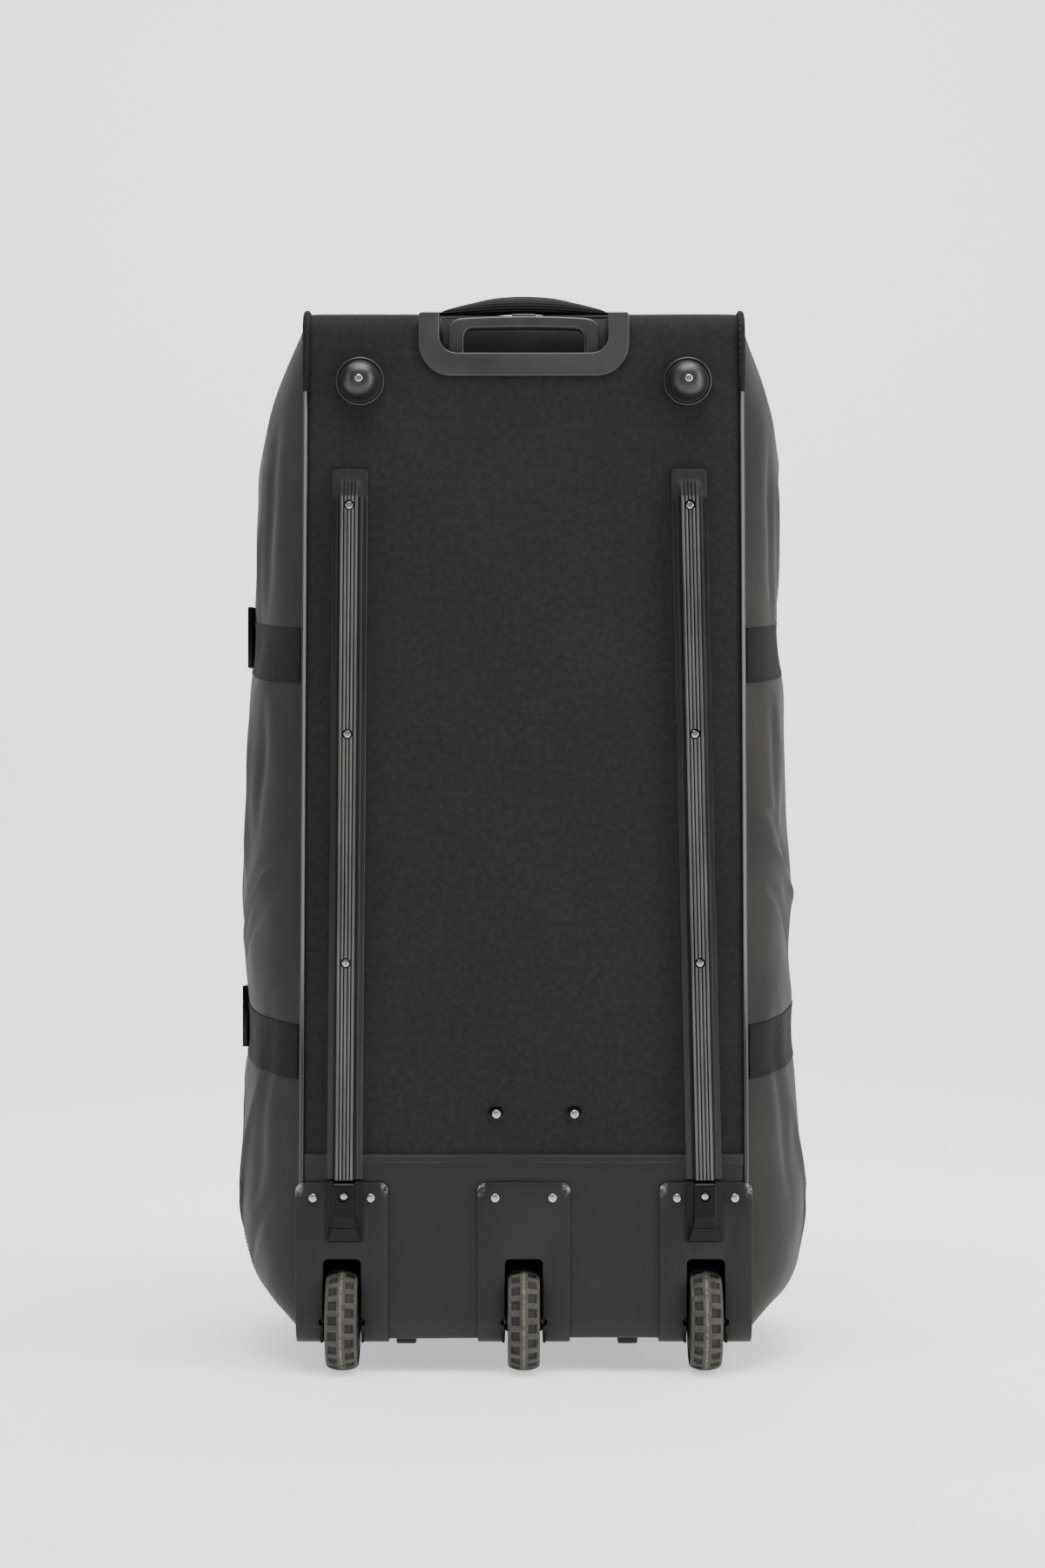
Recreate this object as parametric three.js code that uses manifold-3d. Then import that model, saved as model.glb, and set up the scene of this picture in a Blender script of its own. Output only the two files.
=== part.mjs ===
// Cricket kit bag: a tall holdall that stands on three wheels and two feet.
// Millimetres, +Z up. The stiff base faces -Y, and +X is to the right seen from there.
// The origin is on the floor under the middle of the bag.

import * as THREE from 'three';
import { mergeVertices } from 'three/addons/utils/BufferGeometryUtils.js';
import Module from 'manifold-3d';

const wasm = await Module();
wasm.setup();

// Bag
const bagHeight = 934;            // bottom end to top end
const bagDepth = 350;             // base to the lid's seam
const baseHalfTop = 197.5;        // middle of the base to the piping, at the top
const baseHalfBottom = 202.5;     // the same at the bottom
const bottomLift = 29;            // bottom end above the floor
const baseCornerRadius = 22;
const lidTopRadius = 75;
const lidBottomRadius = 50;
const sideBulge = 70;
const lidCrown = 20;
const endCrown = 10;
const clothWall = 2.2;
const boardWall = 5;
const guardWall = 0.9;
const guardTop = 198.6;
const guardReach = 100;           // how far the guard runs under the bag
const guardInset = 1.5;           // its edges inside the strip's edges
const pipingRadius = 2.4;
const wrapDepth = 42;             // how far the base's cloth runs over the top
const gap = 0.3;                  // between pieces that touch
const chordSlack = 0.5;           // more at a seam whose two edges bend in different steps
const toolReach = 20;             // how far a cutting tool runs past what it cuts

// Webbing
const strapWidth = 50;
const strapWall = 1.6;
const strapGap = 0.7;
const strapRise = 34;             // how much a strap climbs along a side
const upperStrapHeight = 650;
const lowerStrapHeight = 290;
const strapSeamStart = 0.12;      // where a strap starts beside the base's seam, of the first column
const buckleColumn = 5;           // the column of sideAcross that a slider lies on
const buckleMargin = 4;
const buckleLength = 34;
const buckleWall = 5.5;
const buckleBar = 6;
const buckleSlotMargin = 1;       // a slot past the strap's edges
const tailLength = 96;
const tailInset = 2.5;            // the tail's edges inside the strap's

// Wheels and their housings
const wheelRadius = 46.3;
const wheelWidth = 29.5;
const wheelInset = 37.5;          // the outer wheels from the piping
const treadRows = 20;
const treadDepth = 2.2;
const treadRib = 3;               // half the rib round the middle
const treadShoulder = 1.5;        // the plain rim outside the pockets
const shoulderDrop = 3.6;
const axleRadius = 4;
const boreClearance = 0.5;
const hubRadius = 11;
const axleDepth = 14;             // behind the base's face
const slotWidth = 34.4;
const slotTop = 103.4;
const wellWall = 2.6;
const wellClearance = 6;          // wheel to the back of its well
const plateWall = 2.8;
const plateWidth = 84;
const plateTop = 173;
const plateCorner = 8;
const plateReach = 88;            // how far a plate runs under the bag
const plateRivetSpread = 26;
const plateRivetDrop = 14;

// Skid rails
const railTop = 820;
const railBottom = 176;
const railWidth = 32.4;
const railFlange = 2.6;
const railHeight = 13;
const railRibBase = 21;
const railRibTop = 16.3;
const railRidges = 5;
const ridgeDepth = 1.1;
const ridgeEdge = 1.5;            // the rib's rounded edges
const railEndLength = 26;         // the slope at the top
const railCorner = 4;
const railNotchClearance = 1.2;   // round a rail, in the guard
const leastRib = 0.001;           // keeps the flat end's outline from being straight
const leftRailInset = { top: 39.9, bottom: 39.9 };
const rightRailInset = { top: 48, bottom: 39 };
const railRivetHeights = [786, 579, 372];
const capHeight = 55;
const capWidth = 34.4;
const capLap = 1.4;               // over the wheel plate's top edge
const capFlange = 2.4;
const capBand = 19.7;             // the raised band down the middle
const capFlare = 4.5;             // how much wider the band gets on each side
const capCorner = 2;
const capEdge = 1.5;
const capRivetDrop = 11;          // below the plate's top edge

// Corner feet
const footInset = 49;
const footDrop = 64;              // below the top end
const footRadius = 22.3;
const footLip = 4.4;
const footDome = 18;
const footReach = 27.4;

// Fasteners
const rivetRadius = 4.1;
const rivetHeight = 2;
const rivetSink = 1.6;            // a rivet's crown below the rib's top
const recessClearance = 0.7;
const footRivetRadius = 3.8;
const shankRadius = 2.5;
const shankClearance = 0.4;
const shankReach = 6.4;           // behind the base's face
const washerRadius = 7.7;
const washerWall = 1;
const centerRivets = [-25, 46];
const centerRivetHeight = 234.6;

// Pull handle
const surroundWidth = 191;
const surroundHeight = 58;
const surroundDrop = 1;           // its top below the top end
const surroundWall = 2.6;
const surroundSide = 18.6;
const surroundBand = 21;
const surroundCorner = 30;
const windowCorner = { across: 22, up: 12 };
const cupWall = 2.4;
const cupDepth = 40;
const gripWidth = 138;
const gripHeight = 51;
const gripLift = 5;               // above the surround's lower edge
const gripSeat = 6;               // the recess's floor below the grip
const gripWall = 20;
const gripArch = 2.6;
const gripCorner = 12;
const gripFoot = 6;               // its lower corners
const gripBar = 9.5;
const gripLowBar = 12.5;
const holeWidth = 110;
const holeCorner = 8;
const buttonWidth = 22;
const buttonDepth = 12;
const buttonRise = 2.6;
const tubeSpread = 36;
const tubeRadius = 8;
const tubeWall = 1.5;
const tubeLength = 640;
const slideClearance = 0.5;
const guideWall = 1.6;
const guideSpare = 19.4;          // below the tubes
const guideFloor = 4;
const bracketHeight = 24;
const bracketReach = 58;

// End handle
const grabHalf = 88;
const grabWidth = 36;
const grabWall = 8;
const grabRise = 24;              // its top above the top end's edge
const grabFall = 32.4;            // from its middle to its ends
const grabLeastWall = 3;
const grabSeat = 1.4;
const grabDepth = 72;             // behind the base

// Stand feet
const standFeet = { stand_foot_left: -112, stand_foot_right: 99 };
const standWidth = 19;
const standStart = 147;
const standEnd = 300;
const standCorner = 3;
const standSplay = 4;             // how much longer a foot is at the bag

// Zip
const zipWidth = 32;
const zipWall = 1.6;
const zipTop = 880;
const zipBottom = 110;
const sliderLength = 16;
const sliderWall = 4;
const sliderDrop = 4;             // below the zip's top end
const zipPullWidth = 10;
const zipPullLength = 40;
const zipPullWall = 2.5;

const bagTop = bottomLift + bagHeight;
const surroundTop = bagTop - surroundDrop;
const surroundBottom = surroundTop - surroundHeight;
const gripBottom = surroundBottom + gripLift;
const gripTop = gripBottom + gripHeight;
const leftRail = { top: leftRailInset.top - baseHalfTop, bottom: leftRailInset.bottom - baseHalfBottom };
const rightRail = { top: baseHalfTop - rightRailInset.top, bottom: baseHalfBottom - rightRailInset.bottom };
const wheelPitch = baseHalfBottom - wheelInset;
const stripMargin = pipingRadius + gap;
const sideInset = pipingRadius + gap + chordSlack;
const plateFront = guardWall + gap + plateWall + gap;
const wheelReach = wheelRadius - axleDepth;
const middleDepth = (bagDepth + lidCrown + strapWall + strapGap - wheelReach) / 2;
const { lerp } = THREE.MathUtils;

// How far each side stands out, from the bottom end to the top end, as shares of sideBulge
const sideSections = [
  { at: 0.000, left: 0.00, right: 0.00 },
  { at: 0.012, left: 0.34, right: 0.36 },
  { at: 0.030, left: 0.69, right: 0.75 },
  { at: 0.063, left: 0.84, right: 0.88 },
  { at: 0.110, left: 1.00, right: 0.99 },
  { at: 0.170, left: 0.96, right: 0.89 },
  { at: 0.225, left: 0.93, right: 0.83 },
  { at: 0.277, left: 0.87, right: 0.78 },
  { at: 0.332, left: 0.90, right: 0.77 },
  { at: 0.385, left: 0.98, right: 0.72 },
  { at: 0.430, left: 1.00, right: 0.77 },
  { at: 0.500, left: 0.94, right: 0.71 },
  { at: 0.582, left: 0.91, right: 0.71 },
  { at: 0.635, left: 0.88, right: 0.70 },
  { at: 0.690, left: 0.81, right: 0.63 },
  { at: 0.742, left: 0.82, right: 0.62 },
  { at: 0.796, left: 0.81, right: 0.63 },
  { at: 0.850, left: 0.79, right: 0.66 },
  { at: 0.905, left: 0.69, right: 0.57 },
  { at: 0.938, left: 0.53, right: 0.46 },
  { at: 0.966, left: 0.36, right: 0.30 },
  { at: 0.987, left: 0.16, right: 0.12 },
  { at: 1.000, left: 0.00, right: 0.00 },
];

// The same from the base's seam to the lid's seam
const sideAcross = [
  { at: 0.00, share: 0.00 },
  { at: 0.05, share: 0.34 },
  { at: 0.12, share: 0.60 },
  { at: 0.21, share: 0.80 },
  { at: 0.32, share: 0.94 },
  { at: 0.44, share: 1.00 },
  { at: 0.56, share: 1.00 },
  { at: 0.68, share: 0.94 },
  { at: 0.79, share: 0.80 },
  { at: 0.88, share: 0.60 },
  { at: 0.95, share: 0.34 },
  { at: 1.00, share: 0.00 },
];

// Dents and folds in the sides: place across and up, reach each way, slant, depth of sideBulge
const sideFolds = [
  { side: -1, across: 0.26, up: 0.43, wide: 0.08, tall: 0.07, slant: 0.5, depth: -0.07 },
  { side: -1, across: 0.40, up: 0.35, wide: 0.10, tall: 0.05, slant: -0.4, depth: -0.06 },
  { side: -1, across: 0.30, up: 0.80, wide: 0.07, tall: 0.12, slant: 0, depth: -0.06 },
  { side: -1, across: 0.66, up: 0.60, wide: 0.10, tall: 0.08, slant: 0.6, depth: -0.08 },
  { side: -1, across: 0.55, up: 0.17, wide: 0.12, tall: 0.06, slant: 0.3, depth: 0.04 },
  { side: 1, across: 0.30, up: 0.52, wide: 0.08, tall: 0.08, slant: 0.4, depth: -0.08 },
  { side: 1, across: 0.45, up: 0.44, wide: 0.10, tall: 0.04, slant: 0, depth: 0.05 },
  { side: 1, across: 0.35, up: 0.76, wide: 0.07, tall: 0.10, slant: 0, depth: -0.07 },
  { side: 1, across: 0.70, up: 0.30, wide: 0.10, tall: 0.09, slant: -0.5, depth: -0.08 },
  { side: 1, across: 0.25, up: 0.14, wide: 0.08, tall: 0.06, slant: 0.2, depth: -0.05 },
];

// A rail's top end, as shares of the end's length, its corner and the rib's height
const railEnds = [
  { drop: 0.00, corner: 1.0, rib: 0.00 },
  { drop: 0.06, corner: 0.4, rib: 0.00 },
  { drop: 0.19, corner: 0.0, rib: 0.00 },
  { drop: 0.35, corner: 0.0, rib: 0.05 },
  { drop: 1.00, corner: 0.0, rib: 1.00 },
];

// A rail's cap from its top down, as shares of its height, corner, flare and the rail's height
const capRows = [
  { drop: 0.000, corner: 1, flare: 0.00, high: 0.86 },
  { drop: 0.044, corner: 0, flare: 0.00, high: 1.00 },
  { drop: 0.607, corner: 0, flare: 0.00, high: 1.00 },
  { drop: 0.644, corner: 0, flare: 0.11, high: 0.86 },
  { drop: 0.735, corner: 0, flare: 0.22, high: 0.86 },
  { drop: 0.771, corner: 0, flare: 0.36, high: 0.62 },
  { drop: 0.935, corner: 0, flare: 1.00, high: 0.45 },
  { drop: 1.000, corner: 1, flare: 0.78, high: 0.34 },
];

// A corner foot's dome above its lip, as shares of the dome's radius and the foot's reach
const footRows = [
  { radius: 0.95, reach: 0.51 },
  { radius: 0.76, reach: 0.80 },
  { radius: 0.50, reach: 0.96 },
];

// A point from its place across, its depth behind the base's face and its height
const at = (x, depth, z) => new THREE.Vector3(x, depth - middleDepth, z);
const halfWidth = (z) => lerp(baseHalfBottom, baseHalfTop, (z - bottomLift) / bagHeight);
const parts = new THREE.Group();

const cloth = { color: 0x1c1c1f, roughness: 0.85 };
const tarpaulin = { color: 0x3b3b3d, roughness: 0.55 };
const vinyl = { color: 0x202023, roughness: 0.45 };
const webbing = { color: 0x141416, roughness: 0.8 };
const plastic = { color: 0x232325, roughness: 0.5 };
const gloss = { color: 0x101012, roughness: 0.2 };
const rubber = { color: 0x353433, roughness: 0.7 };
const steel = { color: 0xa8a9ad, roughness: 0.25, metalness: 1 };

// A closed body's faces all point out
function facingOut(geometry) {
  const point = geometry.attributes.position;
  const index = geometry.index;
  const [a, b, c] = [new THREE.Vector3(), new THREE.Vector3(), new THREE.Vector3()];
  let volume = 0;
  for (let i = 0; i < index.count; i += 3) {
    a.fromBufferAttribute(point, index.getX(i));
    b.fromBufferAttribute(point, index.getX(i + 1));
    c.fromBufferAttribute(point, index.getX(i + 2));
    volume += a.dot(b.cross(c));
  }
  if (volume < 0) {
    for (let i = 0; i < index.count; i += 3) {
      const first = index.getX(i);
      index.setX(i, index.getX(i + 2));
      index.setX(i + 2, first);
    }
  }
  return geometry;
}

function fromPoints(points, index) {
  const geometry = new THREE.BufferGeometry().setFromPoints(points);
  geometry.setIndex(index);
  return facingOut(geometry);
}

function welded(geometry) {
  const plain = geometry.clone();
  for (const name of Object.keys(plain.attributes)) {
    if (name !== 'position') plain.deleteAttribute(name);
  }
  return mergeVertices(plain, 1e-3);
}

function solidOf(geometry) {
  const plain = welded(geometry);
  return new wasm.Manifold(new wasm.Mesh({
    numProp: 3,
    vertProperties: new Float32Array(plain.attributes.position.array),
    triVerts: new Uint32Array(plain.index.array),
  }));
}

function geometryOf(solid) {
  const mesh = solid.getMesh();
  const geometry = new THREE.BufferGeometry();
  geometry.setAttribute('position', new THREE.BufferAttribute(mesh.vertProperties, 3));
  geometry.setIndex(new THREE.BufferAttribute(mesh.triVerts, 1));
  return geometry;
}

const cut = (geometry, ...tools) =>
  geometryOf(tools.reduce((rest, tool) => rest.subtract(solidOf(tool)), solidOf(geometry)));
const join = (geometry, ...others) =>
  geometryOf(others.reduce((rest, other) => rest.add(solidOf(other)), solidOf(geometry)));

function addPiece(name, geometry, look) {
  const mesh = new THREE.Mesh(geometry, new THREE.MeshStandardMaterial(look));
  mesh.name = name;
  parts.add(mesh);
  return mesh;
}

// A wall between two grids of points with the same columns and rows
function wall(outer, inner) {
  const columns = outer.length;
  const rows = outer[0].length;
  const index = [];
  const front = (i, j) => i * rows + j;
  const back = (i, j) => (columns + i) * rows + j;
  const quad = (a, b, c, d) => index.push(a, b, c, a, c, d);
  for (let i = 0; i < columns - 1; i++) {
    for (let j = 0; j < rows - 1; j++) {
      quad(front(i, j), front(i + 1, j), front(i + 1, j + 1), front(i, j + 1));
      quad(back(i, j), back(i, j + 1), back(i + 1, j + 1), back(i + 1, j));
    }
    quad(front(i, 0), back(i, 0), back(i + 1, 0), front(i + 1, 0));
    quad(front(i, rows - 1), front(i + 1, rows - 1), back(i + 1, rows - 1), back(i, rows - 1));
  }
  for (let j = 0; j < rows - 1; j++) {
    quad(front(0, j), front(0, j + 1), back(0, j + 1), back(0, j));
    quad(front(columns - 1, j), back(columns - 1, j), back(columns - 1, j + 1),
      front(columns - 1, j + 1));
  }
  return fromPoints([...outer.flat(), ...inner.flat()], index);
}

// A body through rings with the same number of points, closed by its end caps
function loft(rings) {
  const count = rings[0].length;
  const index = [];
  for (let r = 0; r < rings.length - 1; r++) {
    for (let k = 0; k < count; k++) {
      const next = (k + 1) % count;
      const [a, b] = [r * count + k, r * count + next];
      index.push(a, b, b + count, a, b + count, a + count);
    }
  }
  const last = (rings.length - 1) * count;
  const flat = rings[0].map((p) => new THREE.Vector2(p.x, p.y));
  for (const [a, b, c] of THREE.ShapeUtils.triangulateShape(flat, [])) index.push(b, a, c);
  const end = rings.at(-1).map((p) => new THREE.Vector2(p.x, p.y));
  for (const [a, b, c] of THREE.ShapeUtils.triangulateShape(end, [])) {
    index.push(last + a, last + b, last + c);
  }
  return fromPoints(rings.flat(), index);
}

// A shape drawn in one plane and drawn out along the axis across it
function prism(axis, outline, start, end) {
  const shape = outline instanceof THREE.Shape
    ? outline
    : new THREE.Shape(outline.map(([a, b]) => new THREE.Vector2(a, b)));
  const geometry = new THREE.ExtrudeGeometry(shape, {
    depth: end - start, bevelEnabled: false, curveSegments: 5,
  });
  geometry.translate(0, 0, start);
  const [x, y, z] = [new THREE.Vector3(1, 0, 0), new THREE.Vector3(0, 1, 0),
    new THREE.Vector3(0, 0, 1)];
  const turn = new THREE.Matrix4();
  if (axis === 'x') turn.makeBasis(y, z, x);
  if (axis === 'y') turn.makeBasis(x, z, y);
  geometry.applyMatrix4(turn);
  return facingOut(welded(geometry));
}

function block(x0, x1, depth0, depth1, z0, z1) {
  const geometry = new THREE.BoxGeometry(x1 - x0, depth1 - depth0, z1 - z0);
  geometry.translate((x0 + x1) / 2, (depth0 + depth1) / 2 - middleDepth, (z0 + z1) / 2);
  return geometry;
}

// A turned body, its axis pointing out of the base's face: profile rows are radius, reach
function turned(profile, sides) {
  const geometry = new THREE.LatheGeometry(
    profile.map(([radius, reach]) => new THREE.Vector2(radius, reach)), sides);
  geometry.rotateX(Math.PI);
  return facingOut(welded(geometry));
}

// A round bar or a hole's tool along one axis
function rod(axis, radius, x, depth, z, length, sides = 12) {
  const geometry = new THREE.CylinderGeometry(radius, radius, length, sides);
  if (axis === 'x') geometry.rotateZ(Math.PI / 2);
  if (axis === 'z') geometry.rotateX(Math.PI / 2);
  geometry.translate(x, depth - middleDepth, z);
  return geometry;
}

// The bag's side view: four rounded corners, each with its middle and its turn in degrees
const corners = {
  baseBottom: { depth: baseCornerRadius, z: bottomLift + baseCornerRadius,
    radius: baseCornerRadius, from: 270, to: 180 },
  baseTop: { depth: baseCornerRadius, z: bagTop - baseCornerRadius,
    radius: baseCornerRadius, from: 180, to: 90 },
  lidTop: { depth: bagDepth - lidTopRadius, z: bagTop - lidTopRadius,
    radius: lidTopRadius, from: 90, to: 0 },
  lidBottom: { depth: bagDepth - lidBottomRadius, z: bottomLift + lidBottomRadius,
    radius: lidBottomRadius, from: 0, to: -90 },
};

// A station of the side view: its depth, height and the way out of the bag there
function onCorner(corner, share, inset = 0) {
  const angle = THREE.MathUtils.degToRad(lerp(corner.from, corner.to, share));
  const [outDepth, outZ] = [Math.cos(angle), Math.sin(angle)];
  const radius = corner.radius - inset;
  return { depth: corner.depth + radius * outDepth, z: corner.z + radius * outZ,
    outDepth, outZ };
}

const turnStations = (corner, steps, from = 0, to = 1) =>
  Array.from({ length: steps + 1 }, (_, k) => onCorner(corner, lerp(from, to, k / steps)));

function straightStations(a, b, steps) {
  return Array.from({ length: steps + 1 }, (_, k) => ({
    ...a, depth: lerp(a.depth, b.depth, k / steps), z: lerp(a.z, b.z, k / steps),
  }));
}

const shifted = (station, out) => ({ ...station,
  depth: station.depth + station.outDepth * out, z: station.z + station.outZ * out });

// A share of the way from the middle of one corner to the middle of the next
function betweenCorners(first, second, share, inset) {
  const a = onCorner(first, 1, inset);
  const b = onCorner(second, 0, inset);
  const firstArc = (first.radius - inset) * Math.PI / 4;
  const secondArc = (second.radius - inset) * Math.PI / 4;
  const straight = Math.hypot(b.depth - a.depth, b.z - a.z);
  const along = share * (firstArc + straight + secondArc);
  if (along < firstArc) return onCorner(first, 0.5 + 0.5 * along / firstArc, inset);
  if (along > firstArc + straight) {
    return onCorner(second, 0.5 * (along - firstArc - straight) / secondArc, inset);
  }
  const part = (along - firstArc) / straight;
  return { ...a, depth: lerp(a.depth, b.depth, part), z: lerp(a.z, b.z, part) };
}

// A strip of the bag from piping to piping, through stations of the side view
function strip(stations, thickness, { columns = 1, crown = 0, out = 0, margin = stripMargin } = {}) {
  const grid = (inward) => Array.from({ length: columns + 1 }, (_, i) =>
    stations.map((station, j) => {
      const share = lerp(-1, 1, i / columns);
      const along = Math.sin(Math.PI * j / (stations.length - 1));
      const lift = crown * (1 - share * share) * Math.sqrt(Math.max(along, 0));
      const point = shifted(station, out + lift - inward);
      return at(share * (halfWidth(station.z) - margin), point.depth, point.z);
    }));
  const outer = grid(0);
  return { outer, geometry: wall(outer, grid(thickness)) };
}

// The base, its guard and the two ends
const wellHalf = slotWidth / 2 + wellWall;
const wellBack = axleDepth + wheelRadius + wellClearance + wellWall;
const wellTop = slotTop + wellWall;
const housings = { left: -wheelPitch, middle: 0, right: wheelPitch };
const wellCuts = Object.values(housings).map((x) =>
  block(x - wellHalf - gap, x + wellHalf + gap, -toolReach, wellBack + gap, -toolReach,
    wellTop + gap));

const cupHalf = surroundWidth / 2 - surroundSide + cupWall;
const cupFloor = gripBottom - gripSeat;
const cupCut = block(-cupHalf - gap, cupHalf + gap, -toolReach, cupDepth + gap,
  cupFloor - cupWall - gap, bagTop + toolReach);

const baseBottomEnd = onCorner(corners.baseBottom, 1);
const wrapEnd = { ...onCorner(corners.baseTop, 1), depth: wrapDepth };
const baseStations = [
  { ...baseBottomEnd, z: baseBottomEnd.z + gap },
  ...turnStations(corners.baseTop, 4),
  wrapEnd,
];
const shankHoles = centerRivets.map((x) =>
  rod('y', shankRadius + shankClearance, x, 0, centerRivetHeight, 2 * toolReach, 8));
addPiece('base_panel', cut(strip(baseStations, boardWall).geometry, ...wellCuts, cupCut,
  ...shankHoles), cloth);

const topStart = { ...wrapEnd, depth: wrapDepth + gap };
const topEndPanel = strip(straightStations(topStart, onCorner(corners.lidTop, 0), 6), clothWall,
  { columns: 4, crown: endCrown });
addPiece('top_end', cut(topEndPanel.geometry, cupCut), cloth);

const lidStations = [
  ...turnStations(corners.lidTop, 3),
  ...straightStations(onCorner(corners.lidTop, 1), onCorner(corners.lidBottom, 0), 8).slice(1),
  ...turnStations(corners.lidBottom, 3).slice(1),
];
lidStations[0].depth += gap;
const lid = strip(lidStations, clothWall, { columns: 6, crown: lidCrown });
addPiece('front_lid', lid.geometry, cloth);

const bottomStations = [
  { ...onCorner(corners.lidBottom, 1), depth: corners.lidBottom.depth - gap },
  ...turnStations(corners.baseBottom, 4),
];
addPiece('bottom_end', cut(strip(bottomStations, clothWall).geometry, ...wellCuts), cloth);

const guardStations = [
  { ...onCorner(corners.baseBottom, 1), z: guardTop },
  ...turnStations(corners.baseBottom, 4, 1, 0),
  { ...onCorner(corners.baseBottom, 0), depth: guardReach },
];
const notchHalf = railWidth / 2 + railNotchClearance;
const railNotches = [leftRail, rightRail].map(({ bottom }) => block(bottom - notchHalf,
  bottom + notchHalf, -toolReach, guardWall, railBottom - railNotchClearance,
  guardTop + toolReach));
const guard = strip(guardStations, guardWall,
  { out: gap + guardWall, margin: stripMargin + guardInset });
addPiece('guard_panel', cut(guard.geometry, ...wellCuts, ...railNotches), vinyl);

// One bulging side: a grid of points fitted to the rounded side view
const sectionBulge = (section, side) => (side < 0 ? section.left : section.right);

function foldDepth(side, across, up) {
  return sideFolds.filter((fold) => fold.side === side).reduce((sum, fold) => {
    const v = (up - fold.up) / fold.tall;
    const u = (across - fold.across - fold.slant * (up - fold.up)) / fold.wide;
    return sum + fold.depth * Math.exp(-u * u - v * v);
  }, 0);
}

const reverseOf = (corner) => ({ ...corner, from: corner.to, to: corner.from });
const reversed = {
  baseBottom: reverseOf(corners.baseBottom),
  lidBottom: reverseOf(corners.lidBottom),
  lidTop: reverseOf(corners.lidTop),
};

function sideGrid(side) {
  const mix = (across, up) => {
    const [b, t] = [betweenCorners(reversed.baseBottom, reversed.lidBottom, across, sideInset),
      betweenCorners(corners.baseTop, corners.lidTop, across, sideInset)];
    const [s, l] = [betweenCorners(corners.baseBottom, corners.baseTop, up, sideInset),
      betweenCorners(reversed.lidBottom, reversed.lidTop, up, sideInset)];
    const corner = (c) => onCorner(c, 0.5, sideInset);
    const fill = (key) => lerp(b[key], t[key], up) + lerp(s[key], l[key], across)
      - lerp(lerp(corner(corners.baseBottom)[key], corner(corners.lidBottom)[key], across),
        lerp(corner(corners.baseTop)[key], corner(corners.lidTop)[key], across), up);
    return { depth: fill('depth'), z: fill('z') };
  };
  return sideAcross.map((column) => sideSections.map((section) => {
    const { depth, z } = mix(column.at, section.at);
    const edge = column.share === 0 || section.at === 0 || section.at === 1;
    const share = sectionBulge(section, side) * column.share
      + (edge ? 0 : foldDepth(side, column.at, section.at));
    return at(side * (halfWidth(z) + sideBulge * share), depth, z);
  }));
}

// The way out of a grid of points at one of them
function gridNormal(grid, i, j, side) {
  const [lastColumn, lastRow] = [grid.length - 1, grid[0].length - 1];
  const u = grid[Math.min(i + 1, lastColumn)][j].clone().sub(grid[Math.max(i - 1, 0)][j]);
  const v = grid[i][Math.min(j + 1, lastRow)].clone().sub(grid[i][Math.max(j - 1, 0)]);
  return u.cross(v).multiplyScalar(side).normalize();
}

function innerGrid(grid, side, thickness) {
  const [lastColumn, lastRow] = [grid.length - 1, grid[0].length - 1];
  return grid.map((column, i) => column.map((point, j) => {
    if (i > 0 && j > 0 && i < lastColumn && j < lastRow) {
      return point.clone().addScaledVector(gridNormal(grid, i, j, side), -thickness);
    }
    const inner = point.clone();
    const outward = nearestOutline(point);
    inner.y -= outward.outDepth * thickness;
    inner.z -= outward.outZ * thickness;
    return inner;
  }));
}

// The way out of the side view's outline next to a point on it
function nearestOutline(point) {
  const depth = point.y + middleDepth;
  const low = point.z < bottomLift + bagHeight / 2;
  const front = depth < bagDepth / 2;
  const corner = corners[(front ? 'base' : 'lid') + (low ? 'Bottom' : 'Top')];
  const [dDepth, dZ] = [depth - corner.depth, point.z - corner.z];
  const pastDepth = front ? dDepth < 0 : dDepth > 0;
  const pastZ = low ? dZ < 0 : dZ > 0;
  if (pastDepth && pastZ) {
    const reach = Math.hypot(dDepth, dZ);
    return { outDepth: dDepth / reach, outZ: dZ / reach };
  }
  return pastZ ? { outDepth: 0, outZ: low ? -1 : 1 } : { outDepth: front ? -1 : 1, outZ: 0 };
}

const sides = {};
for (const [name, side] of [['side_left', -1], ['side_right', 1]]) {
  sides[side] = sideGrid(side);
  addPiece(name, wall(sides[side], innerGrid(sides[side], side, clothWall)), tarpaulin);
}

// Piping: a closed round cord in each seam
function pipingLoop(side, radius) {
  const stations = [
    onCorner(corners.baseBottom, 1),
    ...turnStations(corners.baseTop, 4),
    ...turnStations(corners.lidTop, 6),
    ...turnStations(corners.lidBottom, 5),
    ...turnStations(corners.baseBottom, 4).slice(0, 4),
  ];
  const cordSides = 6;
  const points = stations.flatMap((station) => Array.from({ length: cordSides }, (_, k) => {
    const angle = 2 * Math.PI * k / cordSides;
    const out = shifted(station, radius * Math.cos(angle));
    return at(side * (halfWidth(station.z) + radius * Math.sin(angle)), out.depth, out.z);
  }));
  const index = [];
  for (let s = 0; s < stations.length; s++) {
    const next = (s + 1) % stations.length;
    for (let k = 0; k < cordSides; k++) {
      const turn = (k + 1) % cordSides;
      const [a, b] = [s * cordSides + k, s * cordSides + turn];
      const [c, d] = [next * cordSides + turn, next * cordSides + k];
      index.push(a, b, c, a, c, d);
    }
  }
  return fromPoints(points, index);
}

addPiece('piping_left', pipingLoop(-1, pipingRadius), gloss);
addPiece('piping_right', pipingLoop(1, pipingRadius), gloss);

// Where a line of grid points passes a height
function atHeight(line, z) {
  const rising = line.at(-1).z > line[0].z;
  for (let j = 0; j < line.length - 1; j++) {
    const [a, b] = [line[j], line[j + 1]];
    if (rising ? z <= b.z : z >= b.z) return a.clone().lerp(b, (z - a.z) / (b.z - a.z));
  }
  return line.at(-1).clone();
}

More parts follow.
